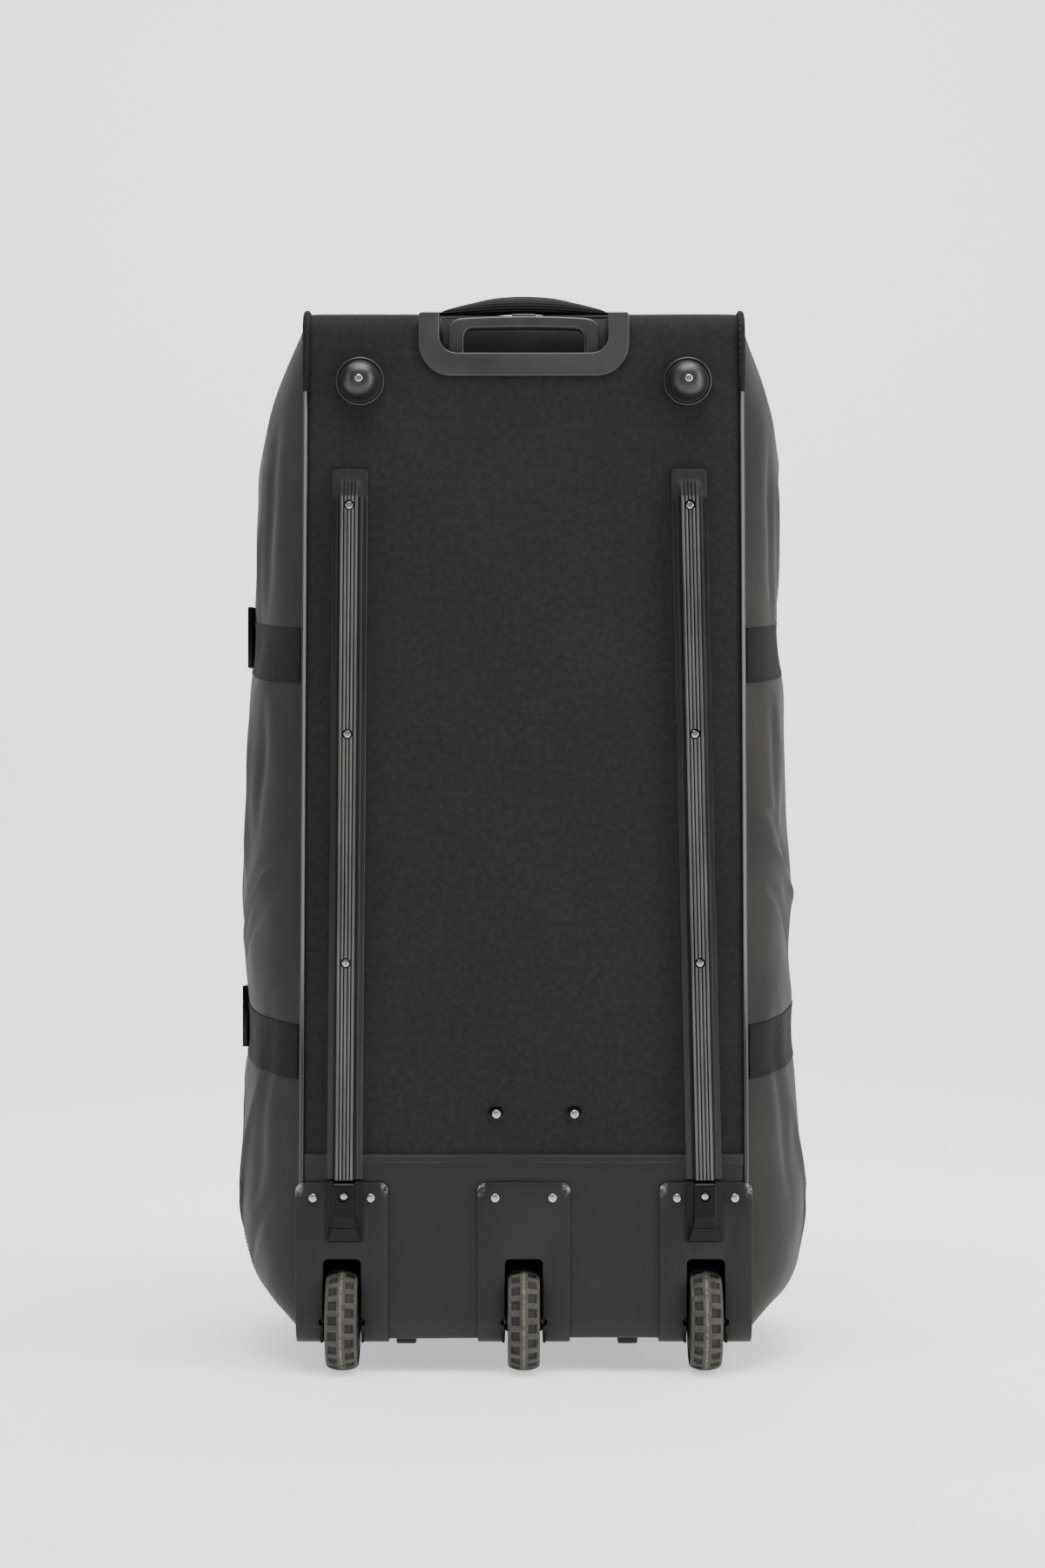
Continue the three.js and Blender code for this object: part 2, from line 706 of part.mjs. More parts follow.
// A strap's edge points over one line of a grid, kept clear of the cloth between them
function strapPair(line, middleZ, outward, lift) {
  const low = atHeight(line, middleZ - strapWidth / 2);
  const high = atHeight(line, middleZ + strapWidth / 2);
  const steps = 6;
  let rise = 0;
  for (let k = 1; k < steps; k++) {
    const between = atHeight(line, lerp(low.z, high.z, k / steps));
    rise = Math.max(rise, between.sub(low.clone().lerp(high, k / steps)).dot(outward));
  }
  return { low: low.addScaledVector(outward, rise + lift),
    high: high.addScaledVector(outward, rise + lift), outward };
}

const climb = (across) => strapRise * (1 - (1 - across) ** 2);

function sideStations(side, strapHeight) {
  const grid = sides[side];
  const last = grid.length - 1;
  const found = [];
  for (let i = 1; i < last; i++) {
    const outward = gridNormal(grid, i, Math.floor(grid[i].length / 2), side);
    outward.z = 0;
    outward.normalize();
    found.push(strapPair(grid[i], strapHeight + climb(sideAcross[i].at), outward, strapGap));
  }
  const first = found[0].outward.clone();
  const seamLine = grid[0].map((point, j) => point.clone().lerp(grid[1][j], strapSeamStart));
  found.unshift(strapPair(seamLine, strapHeight, first, strapGap));
  return found;
}

// Over the piping at the lid's seam
function seamStations(side, strapHeight) {
  const middleZ = strapHeight + strapRise;
  return [25, 70].map((degrees) => {
    const angle = THREE.MathUtils.degToRad(degrees);
    const outward = new THREE.Vector3(side * Math.cos(angle), Math.sin(angle), 0);
    const reach = pipingRadius + 2 * strapGap + gap;
    const end = (z) => at(side * halfWidth(z), bagDepth, z).addScaledVector(outward, reach);
    return { low: end(middleZ - strapWidth / 2), high: end(middleZ + strapWidth / 2), outward };
  });
}

function lidRun(strapHeight) {
  const middleZ = strapHeight + strapRise;
  const count = lid.outer.length - 1;
  const outward = new THREE.Vector3(0, 1, 0);
  const lines = lid.outer.slice(1, count);
  const pitch = lines[1][0].x - lines[0][0].x;
  const overZip = (zipWall + 2 * gap) * pitch / (pitch - zipWidth / 2);
  return lines.map((line, i) =>
    strapPair(line, middleZ, outward, strapGap + (i === (count - 2) / 2 ? overZip : 0)));
}

function strapWallThrough(stations) {
  const line = (key, out) => stations.map((s) => s[key].clone().addScaledVector(s.outward, out));
  return wall([line('low', strapWall), line('high', strapWall)], [line('low', 0), line('high', 0)]);
}

for (const [name, height] of [['upper', upperStrapHeight], ['lower', lowerStrapHeight]]) {
  const left = sideStations(-1, height);
  const stations = [...left, ...seamStations(-1, height), ...lidRun(height),
    ...seamStations(1, height).reverse(), ...sideStations(1, height).reverse()];
  addPiece(`strap_${name}`, strapWallThrough(stations), webbing);

  // The slider lies on the strap where the side stands out most
  const seat = left[buckleColumn];
  const across = left[buckleColumn + 1].low.clone().sub(seat.low);
  across.z = 0;
  across.normalize();
  const up = new THREE.Vector3(0, 0, 1);
  const outward = across.clone().cross(up).normalize();
  if (outward.dot(seat.outward) < 0) outward.negate();
  const middle = seat.low.clone().lerp(seat.high, 0.5);
  const lean = Math.abs(seat.high.clone().sub(seat.low).dot(outward)) / 2;
  const bend = [-1, 1].flatMap((step) => ['low', 'high'].map((key) => {
    const beside = left[buckleColumn + step][key].clone().sub(seat[key]);
    return beside.dot(outward) * buckleLength / 2 / Math.abs(beside.dot(across));
  }));
  const base = middle.addScaledVector(outward, lean + Math.max(0, ...bend) + strapWall + gap);
  const place = new THREE.Matrix4().makeBasis(across, outward, up).setPosition(base);
  const [halfLong, halfTall] = [buckleLength / 2, strapWidth / 2 + buckleMargin];
  const oblong = (from, to, half, low, high) =>
    prism('z', [[from, low], [to, low], [to, high], [from, high]], -half, half);
  const slot = (from, to) => oblong(from, to, strapWidth / 2 + buckleSlotMargin,
    -buckleWall, 2 * buckleWall);
  const frame = cut(oblong(-halfLong, halfLong, halfTall, 0, buckleWall),
    slot(-halfLong + buckleBar, -buckleBar / 2), slot(buckleBar / 2, halfLong - buckleBar));
  addPiece(`strap_buckle_${name}`, facingOut(frame.applyMatrix4(place)), plastic);

  // The tail comes up through the slider, over its bar and back along the strap
  const slotEnd = halfLong - buckleBar - gap;
  const overBar = buckleWall + gap;
  const tailRoute = [
    { along: slotEnd - buckleWall, out: gap },
    { along: slotEnd - buckleWall / 2, out: overBar },
    { along: halfLong + strapWall, out: overBar },
    { along: halfLong + buckleWall, out: buckleWall * 0.8 },
    { along: tailLength * 0.6, out: buckleWall * 0.65 },
    { along: tailLength, out: buckleWall * 1.2 },
  ];
  const tailHalf = strapWidth / 2 - tailInset;
  const tailPoint = ({ along, out }, z, extra) =>
    new THREE.Vector3(along, out + extra, z).applyMatrix4(place);
  const side = (z, extra) => tailRoute.map((row) => tailPoint(row, z, extra));
  addPiece(`strap_tail_${name}`, wall([side(-tailHalf, strapWall), side(tailHalf, strapWall)],
    [side(-tailHalf, 0), side(tailHalf, 0)]), webbing);
}

// Zip down the lid, with its pull
const lidMiddle = lid.outer[Math.floor(lid.outer.length / 2)];
const insideZip = ({ z }) => z < zipTop - zipWidth / 4 && z > zipBottom + zipWidth / 4;
const zipLines = [atHeight(lidMiddle, zipTop), ...lidMiddle.filter(insideZip),
  atHeight(lidMiddle, zipBottom)];
const zipSide = (x, out) => zipLines.map((p) => new THREE.Vector3(x, p.y + gap + out, p.z));
addPiece('main_zip', wall([zipSide(-zipWidth / 2, zipWall), zipSide(zipWidth / 2, zipWall)],
  [zipSide(-zipWidth / 2, 0), zipSide(zipWidth / 2, 0)]), webbing);
const sliderTop = zipTop - sliderDrop;
const sliderLine = [sliderTop, sliderTop - sliderLength].map((z) => atHeight(lidMiddle, z).y);
const sliderBack = Math.max(...sliderLine) + middleDepth + zipWall + 2 * gap;
const pullHalf = zipPullWidth / 2;
const pullStart = sliderBack + sliderWall * 0.75 - middleDepth;
const pullPlate = prism('y', [[-pullHalf * 0.8, sliderTop - zipPullLength],
  [pullHalf * 0.8, sliderTop - zipPullLength], [pullHalf, sliderTop - sliderLength / 2],
  [pullHalf, sliderTop], [-pullHalf, sliderTop], [-pullHalf, sliderTop - sliderLength / 2]],
  pullStart, pullStart + zipPullWall);
const slider = block(-pullHalf, pullHalf, sliderBack, sliderBack + sliderWall,
  sliderTop - sliderLength, sliderTop);
addPiece('zip_pull', join(slider, pullPlate), steel);

// Wheel housings: a plate bent round the base's bottom corner, with a well for the wheel
function housing(x) {
  const stations = [
    { ...onCorner(corners.baseBottom, 1), z: plateTop },
    ...turnStations(corners.baseBottom, 4, 1, 0),
    { ...onCorner(corners.baseBottom, 0), depth: plateReach },
  ];
  const out = guardWall + 2 * gap;
  const grid = (lift) => [x - plateWidth / 2, x + plateWidth / 2].map((edge) =>
    stations.map((s) => shifted(s, out + lift)).map((s) => at(edge, s.depth, s.z)));
  const plate = wall(grid(plateWall), grid(0));
  const [half, low, c] = [plateWidth / 2, -toolReach, plateCorner];
  const rounded = new THREE.Shape();
  rounded.moveTo(x - half, low);
  rounded.lineTo(x + half, low);
  rounded.lineTo(x + half, plateTop - c);
  rounded.absarc(x + half - c, plateTop - c, c, 0, Math.PI / 2);
  rounded.absarc(x - half + c, plateTop - c, c, Math.PI / 2, Math.PI);
  const trim = prism('y', rounded, -toolReach - middleDepth, plateReach + toolReach - middleDepth);
  const mouth = out + plateWall / 2;
  const well = block(x - wellHalf, x + wellHalf, -mouth, wellBack, bottomLift - mouth, wellTop);
  const slot = block(x - slotWidth / 2, x + slotWidth / 2, -toolReach, wellBack - wellWall,
    -toolReach, slotTop);
  const axleHole = rod('x', axleRadius + gap, x, axleDepth, wheelRadius,
    2 * (wellHalf + toolReach), 8);
  const channel = pipingLoop(Math.sign(x) || 1, pipingRadius + gap);
  return geometryOf(solidOf(plate).intersect(solidOf(trim)).add(solidOf(well))
    .subtract(solidOf(slot)).subtract(solidOf(axleHole)).subtract(solidOf(channel)));
}

// A wheel with rows of pockets on each side of a rib round the middle
function wheel(x) {
  const half = wheelWidth / 2;
  const across = [
    { x: -half, drop: shoulderDrop, pocket: 0 },
    { x: -half + treadShoulder, drop: shoulderDrop * 0.7, pocket: 1 },
    { x: -treadRib, drop: shoulderDrop * 0.06, pocket: 1 },
    { x: 0, drop: 0, pocket: 0 },
    { x: treadRib, drop: shoulderDrop * 0.06, pocket: 1 },
    { x: half - treadShoulder, drop: shoulderDrop * 0.7, pocket: 1 },
    { x: half, drop: shoulderDrop, pocket: 0 },
  ];
  const bore = axleRadius + boreClearance;
  const hubHalf = slotWidth / 2 - boreClearance;
  const rings = 2 * treadRows;
  const points = [];
  for (let k = 0; k < rings; k++) {
    const angle = 2 * Math.PI * (k + 0.5) / rings;
    const spot = (r, px) => new THREE.Vector3(px, -r * Math.cos(angle), r * Math.sin(angle));
    const tread = across.map((row) => spot(wheelRadius - row.drop
      - (k % 2 ? treadDepth * row.pocket : 0), row.x));
    points.push([spot(bore, -hubHalf), spot(hubRadius, -hubHalf), ...tread,
      spot(hubRadius, hubHalf), spot(bore, hubHalf)]);
  }
  const count = points[0].length;
  const index = [];
  for (let k = 0; k < rings; k++) {
    const next = (k + 1) % rings;
    for (let m = 0; m < count; m++) {
      const turn = (m + 1) % count;
      const [a, b] = [k * count + m, k * count + turn];
      const [c, d] = [next * count + turn, next * count + m];
      index.push(a, b, c, a, c, d);
    }
  }
  const geometry = fromPoints(points.flat(), index);
  return geometry.translate(x, axleDepth - middleDepth, wheelRadius);
}

for (const [name, x] of Object.entries(housings)) {
  addPiece(`wheel_housing_${name}`, housing(x), plastic);
  addPiece(`wheel_${name}`, wheel(x), rubber);
  addPiece(`axle_${name}`, rod('x', axleRadius, x, axleDepth, wheelRadius, 2 * wellHalf - 2 * gap, 8),
    steel);
}

// A low domed rivet head, its back against the face that carries it
function rivet(radius, height) {
  return turned([[0, 0], [radius, 0], [radius * 0.8, height * 0.7], [0, height]], 8);
}

function placeOnBase(mesh, x, reach, z) {
  mesh.position.copy(at(x, -reach, z));
  return mesh;
}

for (const [name, x] of Object.entries(housings)) {
  for (const [end, side] of [['a', -1], ['b', 1]]) {
    const head = addPiece(`plate_rivet_${name}_${end}`, rivet(rivetRadius, rivetHeight), steel);
    placeOnBase(head, x + side * plateRivetSpread, plateFront + gap, plateTop - plateRivetDrop);
  }
}

// Skid rails: a flat flange with a ridged rib, sloped at the top end
function railSection(x, z, flangeHalf, rib) {
  const baseHalf = Math.min(railRibBase / 2, flangeHalf - ridgeEdge);
  const topHalf = Math.min(railRibTop / 2, baseHalf - ridgeEdge);
  const height = (reach) => railFlange + (reach - railFlange) * Math.max(rib, leastRib);
  const half = [[-flangeHalf, 0], [-flangeHalf, railFlange], [-baseHalf, railFlange],
    [-topHalf - ridgeEdge / 3, height(railHeight - ridgeEdge)]];
  const ridges = Array.from({ length: 2 * railRidges + 1 }, (_, k) =>
    [lerp(-topHalf, topHalf, k / (2 * railRidges)), height(railHeight - (k % 2 ? 0 : ridgeDepth))]);
  const mirrored = half.map(([across, reach]) => [-across, reach]).reverse();
  return [...half, ...ridges, ...mirrored].map(([across, reach]) => at(x + across, -gap - reach, z));
}

const recess = (x, reach, z) => rod('y', rivetRadius + recessClearance, x, -reach, z,
  2 * (rivetHeight + rivetSink), 8);

function rail({ top, bottom }) {
  const lean = (z) => lerp(bottom, top, (z - railBottom) / (railTop - railBottom));
  const ends = railEnds.map((row) => ({ z: railTop - row.drop * railEndLength,
    half: railWidth / 2 - row.corner * railCorner, rib: row.rib }));
  const rows = [...ends, { z: railBottom, half: railWidth / 2, rib: 1 }];
  const body = loft(rows.map((row) => railSection(lean(row.z), row.z, row.half, row.rib)));
  const recesses = railRivetHeights.map((z) => recess(lean(z), gap + railHeight, z));
  return { geometry: cut(body, ...recesses), lean };
}

function railCap(x) {
  const seat = plateFront + gap;
  const top = plateTop + capLap;
  const body = loft(capRows.map((row) => {
    const edge = capWidth / 2 - row.corner * capCorner;
    const band = capBand / 2 + row.flare * capFlare;
    const high = railHeight * row.high;
    const half = [[-edge, 0], [-edge, capFlange], [-band - capEdge, capFlange + gap],
      [-band, high - capEdge], [-band + capEdge, high]];
    const mirrored = half.map(([across, reach]) => [-across, reach]).reverse();
    return [...half, ...mirrored].map(([across, reach]) =>
      at(x + across, -seat - reach, top - row.drop * capHeight));
  }));
  return cut(body, recess(x, seat + railHeight, plateTop - capRivetDrop));
}

for (const [name, line] of [['left', leftRail], ['right', rightRail]]) {
  const { geometry, lean } = rail(line);
  addPiece(`rail_${name}`, geometry, plastic);
  railRivetHeights.forEach((z, k) => {
    const head = addPiece(`rail_rivet_${name}_${k + 1}`, rivet(rivetRadius, rivetHeight), steel);
    placeOnBase(head, lean(z), railHeight - rivetHeight - rivetSink + 2 * gap, z);
  });
  addPiece(`rail_cap_${name}`, railCap(line.bottom), gloss);
  const head = addPiece(`cap_rivet_${name}`, rivet(rivetRadius, rivetHeight), steel);
  placeOnBase(head, line.bottom, plateFront + railHeight - rivetHeight - rivetSink + 2 * gap,
    plateTop - capRivetDrop);
}

// Domed corner feet with a rivet in the crown
for (const [name, side] of [['left', -1], ['right', 1]]) {
  const recessRadius = footRivetRadius + recessClearance;
  const recessFloor = footReach - rivetHeight;
  const foot = turned([[0, 0], [footRadius, 0], [footRadius, footLip * 0.45],
    [footRadius * 0.96, footLip * 0.82], [footDome, footLip],
    ...footRows.map((row) => [footDome * row.radius, footReach * row.reach]),
    [recessRadius, footReach], [recessRadius, recessFloor], [0, recessFloor]], 16);
  const [x, z] = [side * (baseHalfTop - footInset), bagTop - footDrop];
  placeOnBase(addPiece(`corner_foot_${name}`, foot, plastic), x, gap, z);
  const head = addPiece(`foot_rivet_${name}`, rivet(footRivetRadius, rivetHeight), steel);
  placeOnBase(head, x, recessFloor + 2 * gap, z);
}

// Rivets with washers, which hold the guide of the pull handle
centerRivets.forEach((x, k) => {
  const head = turned([[0, -shankReach], [shankRadius, -shankReach], [shankRadius, 0],
    [washerRadius, 0], [washerRadius, washerWall], [rivetRadius, washerWall * 1.4],
    [0, washerWall + rivetHeight]], 10);
  placeOnBase(addPiece(`center_rivet_${k ? 'right' : 'left'}`, head, steel), x, gap,
    centerRivetHeight);
});

// The surround of the pull handle: a U-shaped plate with its recess behind it
const cupInner = cupHalf - cupWall;
const windowBottom = surroundBottom + surroundBand;

function surroundPlate() {
  const half = surroundWidth / 2;
  const r = surroundCorner;
  const { across, up } = windowCorner;
  const shape = new THREE.Shape();
  shape.moveTo(-half, surroundTop);
  shape.lineTo(-half, surroundBottom + r);
  shape.absarc(-half + r, surroundBottom + r, r, Math.PI, 1.5 * Math.PI);
  shape.lineTo(half - r, surroundBottom);
  shape.absarc(half - r, surroundBottom + r, r, 1.5 * Math.PI, 2 * Math.PI);
  shape.lineTo(half, surroundTop);
  shape.lineTo(cupInner, surroundTop);
  shape.lineTo(cupInner, windowBottom + up);
  shape.quadraticCurveTo(cupInner, windowBottom, cupInner - across, windowBottom);
  shape.lineTo(-cupInner + across, windowBottom);
  shape.quadraticCurveTo(-cupInner, windowBottom, -cupInner, windowBottom + up);
  shape.lineTo(-cupInner, surroundTop);
  return prism('y', shape, -gap - surroundWall - middleDepth, -gap - middleDepth);
}

const tubeDepth = cupDepth / 2;
const overTop = bagTop + toolReach;
const cupOuterBox = block(-cupHalf, cupHalf, -gap - surroundWall / 2, cupDepth, cupFloor - cupWall,
  surroundTop);
const cupInnerBox = block(-cupInner, cupInner, -gap, cupDepth - cupWall, cupFloor, overTop);
const tubeHoles = [-1, 1].map((side) => rod('z', tubeRadius + slideClearance, side * tubeSpread,
  tubeDepth, cupFloor, 2 * toolReach));
const frontWindow = prism('y', [[-cupInner, windowBottom + windowCorner.up],
  [-cupInner + windowCorner.across, windowBottom], [cupInner - windowCorner.across, windowBottom],
  [cupInner, windowBottom + windowCorner.up], [cupInner, overTop], [-cupInner, overTop]],
  -toolReach - middleDepth, cupWall - middleDepth);
const surroundSolid = solidOf(surroundPlate()).add(solidOf(cupOuterBox).subtract(solidOf(cupInnerBox))
  .subtract(solidOf(frontWindow))).subtract(solidOf(tubeHoles[0])).subtract(solidOf(tubeHoles[1]));
addPiece('handle_surround', geometryOf(surroundSolid), plastic);

// The grip: a flat loop with its top bar arched
function gripShape() {
  const half = gripWidth / 2;
  const [foot, corner, shoulder] = [gripFoot, gripCorner, gripTop - gripArch];
  const shape = new THREE.Shape();
  shape.moveTo(-half, gripBottom + foot);
  shape.quadraticCurveTo(-half, gripBottom, -half + foot, gripBottom);
  shape.lineTo(half - foot, gripBottom);
  shape.quadraticCurveTo(half, gripBottom, half, gripBottom + foot);
  shape.lineTo(half, shoulder - 0.6 * corner);
  shape.quadraticCurveTo(half, shoulder - 0.1 * corner, half - corner, shoulder);
  shape.quadraticCurveTo(0, gripTop + gripArch, -half + corner, shoulder);
  shape.quadraticCurveTo(-half, shoulder - 0.1 * corner, -half, shoulder - 0.6 * corner);
  const hole = new THREE.Path();
  const [wide, low, high] = [holeWidth / 2, gripBottom + gripLowBar, gripTop - gripBar];
  hole.moveTo(-wide, low + holeCorner);
  hole.quadraticCurveTo(-wide, low, -wide + holeCorner, low);
  hole.lineTo(wide - holeCorner, low);
  hole.quadraticCurveTo(wide, low, wide, low + holeCorner);
  hole.lineTo(wide, high - holeCorner);
  hole.quadraticCurveTo(wide, high, wide - holeCorner, high);
  hole.lineTo(-wide + holeCorner, high);
  hole.quadraticCurveTo(-wide, high, -wide, high - holeCorner);
  shape.holes.push(hole);
  return shape;
}

const gripPlate = prism('y', gripShape(), tubeDepth - gripWall / 2 - middleDepth,
  tubeDepth + gripWall / 2 - middleDepth);
const button = block(-buttonWidth / 2, buttonWidth / 2, tubeDepth - buttonDepth / 2,
  tubeDepth + buttonDepth / 2, gripTop - gripBar / 2, gripTop + buttonRise);
addPiece('pull_handle', join(gripPlate, button), gloss);

const tubeMiddle = gripBottom - gap - tubeLength / 2;
for (const [name, side] of [['left', -1], ['right', 1]]) {
  const x = side * tubeSpread;
  const tube = cut(rod('z', tubeRadius, x, tubeDepth, tubeMiddle, tubeLength),
    rod('z', tubeRadius - tubeWall, x, tubeDepth, tubeMiddle, tubeLength + 2 * toolReach));
  addPiece(`pull_tube_${name}`, tube, steel);
}

// The guide: two fixed tubes joined by the bracket that the rivets hold
const guideTop = cupFloor - cupWall - gap;
const guideRadius = tubeRadius + slideClearance + guideWall;
const tubeEnd = tubeMiddle - tubeLength / 2;
const guideEnd = Math.min(tubeEnd - guideSpare - guideFloor, centerRivetHeight);
const guideLength = guideTop - guideEnd;
const guideMiddle = guideTop - guideLength / 2;
const guideTubes = [-1, 1].map((side) => rod('z', guideRadius, side * tubeSpread, tubeDepth,
  guideMiddle, guideLength));
const guideBores = [-1, 1].map((side) => rod('z', tubeRadius + slideClearance, side * tubeSpread,
  tubeDepth, guideMiddle + (guideFloor + toolReach) / 2, guideLength - guideFloor + toolReach));
const bracket = block(-bracketReach, bracketReach, boardWall + gap, tubeDepth + guideRadius / 2,
  centerRivetHeight - bracketHeight / 2, centerRivetHeight + bracketHeight / 2);
const shankSeats = centerRivets.map((x) => rod('y', shankRadius + shankClearance, x, 0,
  centerRivetHeight, 2 * (shankReach + gap), 8));
addPiece('pull_guide', cut(join(guideTubes[0], guideTubes[1], bracket), ...guideBores,
  ...shankSeats), plastic);

// The end handle: a padded arch over the top end, its edges thinner than its middle
const grabAcross = [
  { share: -0.50, thin: 0.33 },
  { share: -0.32, thin: 0.05 },
  { share: 0.32, thin: 0.05 },
  { share: 0.50, thin: 0.33 },
];
const grabSteps = 10;
const grabRings = Array.from({ length: grabSteps + 1 }, (_, k) => {
  const share = lerp(-1, 1, k / grabSteps);
  const x = share * grabHalf;
  const crown = endCrown * (1 - (x / halfWidth(bagTop)) ** 2);
  const arch = bagTop + grabRise - grabFall * share * share;
  const low = Math.max(arch - grabWall, bagTop + 0.6 * crown + grabSeat);
  return { x, low, high: Math.max(arch, low + grabLeastWall) };
});
const grabLayer = (from, to) => grabAcross.map((row) => grabRings.map((ring) =>
  at(ring.x, grabDepth + row.share * grabWidth, lerp(ring[from], ring[to], row.thin))));
addPiece('end_handle', wall(grabLayer('high', 'low'), grabLayer('low', 'high')), webbing);

// Feet under the bottom end
for (const [name, x] of Object.entries(standFeet)) {
  const [c, top] = [standCorner, bottomLift - gap];
  const outline = [[standStart - standSplay, top], [standStart, c], [standStart + c, 0],
    [standEnd - c, 0], [standEnd, c], [standEnd + standSplay, top]]
    .map(([depth, z]) => [depth - middleDepth, z]);
  addPiece(name, prism('x', outline, x - standWidth / 2, x + standWidth / 2), plastic);
}

export default parts;
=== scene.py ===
# Cricket kit bag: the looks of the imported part, in metres, +Z up, its base towards -Y

import math

import bmesh
import bpy
import numpy as np
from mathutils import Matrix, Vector, noise
from mathutils.bvhtree import BVHTree


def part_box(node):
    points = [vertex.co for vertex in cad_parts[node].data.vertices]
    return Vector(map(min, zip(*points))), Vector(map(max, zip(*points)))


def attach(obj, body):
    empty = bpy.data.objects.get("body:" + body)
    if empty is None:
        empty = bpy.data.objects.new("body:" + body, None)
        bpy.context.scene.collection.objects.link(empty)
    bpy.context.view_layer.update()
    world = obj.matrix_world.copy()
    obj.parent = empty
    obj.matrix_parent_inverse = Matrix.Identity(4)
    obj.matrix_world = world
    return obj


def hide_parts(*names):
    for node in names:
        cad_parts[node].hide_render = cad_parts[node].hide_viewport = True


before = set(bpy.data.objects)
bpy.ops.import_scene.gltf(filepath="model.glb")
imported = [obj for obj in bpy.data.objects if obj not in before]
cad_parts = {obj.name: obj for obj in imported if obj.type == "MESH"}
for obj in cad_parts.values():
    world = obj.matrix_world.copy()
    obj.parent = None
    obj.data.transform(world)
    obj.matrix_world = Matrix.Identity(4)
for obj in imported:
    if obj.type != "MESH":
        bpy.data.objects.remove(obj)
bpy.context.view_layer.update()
print("frame loaded")

# Studio: camera, soft lights and a pale floor that curves up behind the bag
studio = {
    "camera": (-0.0012, -3.07, 0.534),
    "focal": 73.4,
    "sensor": 36,
    "air": (0.80, 0.81, 0.83),
    "airPower": 0.27,
    "floorFront": -4.5,
    "floorBack": 2.4,
    "floorHalf": 9.0,
    "wallTop": 5.5,
    "wallCurve": 1.6,
}
softLights = [
    {"name": "leftBox", "at": (-2.3, -1.2, 1.2), "to": (0, 0, 0.5), "size": (0.8, 2.4), "power": 21,
     "colour": (0.93, 0.97, 1.0)},
    {"name": "rightBox", "at": (2.2, -1.1, 1.2), "to": (0, 0, 0.5), "size": (0.8, 2.4), "power": 62,
     "colour": (1.0, 0.94, 0.86)},
    {"name": "topBox", "at": (0.1, -0.9, 3.2), "to": (0, -0.7, 0), "size": (2.6, 1.8), "power": 140,
     "colour": (1.0, 0.99, 0.97)},
    {"name": "wallBox", "at": (0.0, 0.9, 3.4), "to": (0, 4.0, 0.9), "size": (4.0, 1.2), "power": 150,
     "colour": (1.0, 1.0, 1.0)},
]

bpy.ops.object.select_all(action="DESELECT")
bpy.ops.object.camera_add(location=studio["camera"], rotation=(math.radians(90), 0, 0))
camera = bpy.context.object
camera.data.lens = studio["focal"]
camera.data.sensor_width = studio["sensor"]
bpy.context.scene.camera = camera

for row in softLights:
    bpy.ops.object.light_add(type="AREA", location=row["at"])
    light = bpy.context.object
    light.name = row["name"]
    light.data.shape = "RECTANGLE"
    light.data.size, light.data.size_y = row["size"]
    light.data.energy = row["power"]
    light.data.color = row["colour"]
    light.rotation_euler = (Vector(row["to"]) - light.location).to_track_quat("-Z", "Y").to_euler()

world = bpy.data.worlds.new("studioAir")
world.use_nodes = True
world.node_tree.nodes["Background"].inputs["Color"].default_value = (*studio["air"], 1)
world.node_tree.nodes["Background"].inputs["Strength"].default_value = studio["airPower"]
bpy.context.scene.world = world


# Tools for modelling as by hand
def only(*pieces):
    if bpy.context.object and bpy.context.object.mode != "OBJECT":
        bpy.ops.object.mode_set(mode="OBJECT")
    bpy.ops.object.select_all(action="DESELECT")
    for piece in pieces:
        piece.select_set(True)
    bpy.context.view_layer.objects.active = pieces[0]
    return pieces[0]


def edit(piece, rule=None, kind="FACE"):
    only(piece)
    bpy.ops.object.mode_set(mode="EDIT")
    bpy.ops.mesh.select_mode(type=kind)
    bpy.ops.mesh.select_all(action="DESELECT" if rule else "SELECT")
    if rule:
        mesh = bmesh.from_edit_mesh(piece.data)
        for part in {"FACE": mesh.faces, "EDGE": mesh.edges, "VERT": mesh.verts}[kind]:
            if rule(part):
                part.select_set(True)
        mesh.select_flush_mode()
        bmesh.update_edit_mesh(piece.data)


def done(piece):
    bpy.ops.object.mode_set(mode="OBJECT")
    return piece


def modify(piece, kind, **settings):
    only(piece)
    modifier = piece.modifiers.new(kind.lower(), kind)
    for key, value in settings.items():
        setattr(modifier, key, value)
    bpy.ops.object.modifier_apply(modifier=modifier.name)
    return piece


def thicken(piece, wall):
    return modify(piece, "SOLIDIFY", thickness=wall, offset=-1, use_even_offset=True)


def bevel(piece, width, segments=3, angle=35):
    return modify(piece, "BEVEL", width=width, segments=segments, limit_method="ANGLE",
                  angle_limit=math.radians(angle))


def settle(piece):
    only(piece)
    bpy.ops.object.transform_apply(location=True, rotation=True, scale=True)
    return piece


def closeUp(piece, distance=1e-5):
    edit(piece)
    bpy.ops.mesh.remove_doubles(threshold=distance)
    bpy.ops.mesh.normals_make_consistent(inside=False)
    return done(piece)


def joined(name, *pieces):
    only(*pieces)
    bpy.ops.object.join()
    pieces[0].name = name
    return pieces[0]


def cutOut(piece, rule):
    edit(piece, rule)
    bpy.ops.mesh.delete(type="FACE")
    return done(piece)


def block(name, low, high):
    low, high = Vector(low), Vector(high)
    bpy.ops.object.select_all(action="DESELECT")
    bpy.ops.mesh.primitive_cube_add(size=1, location=(low + high) / 2, scale=high - low)
    piece = bpy.context.object
    piece.name = name
    return settle(piece)


def along(axis, rule=lambda middle: True):
    def test(edge):
        start, end = (vert.co for vert in edge.verts)
        run = end - start
        return abs(run[axis]) > 0.999 * run.length and rule((start + end) / 2)
    return test


def roundEdges(piece, radius, rule, segments=6):
    edit(piece, rule, "EDGE")
    bpy.ops.mesh.bevel(offset=radius, segments=segments, affect="EDGES")
    return done(piece)


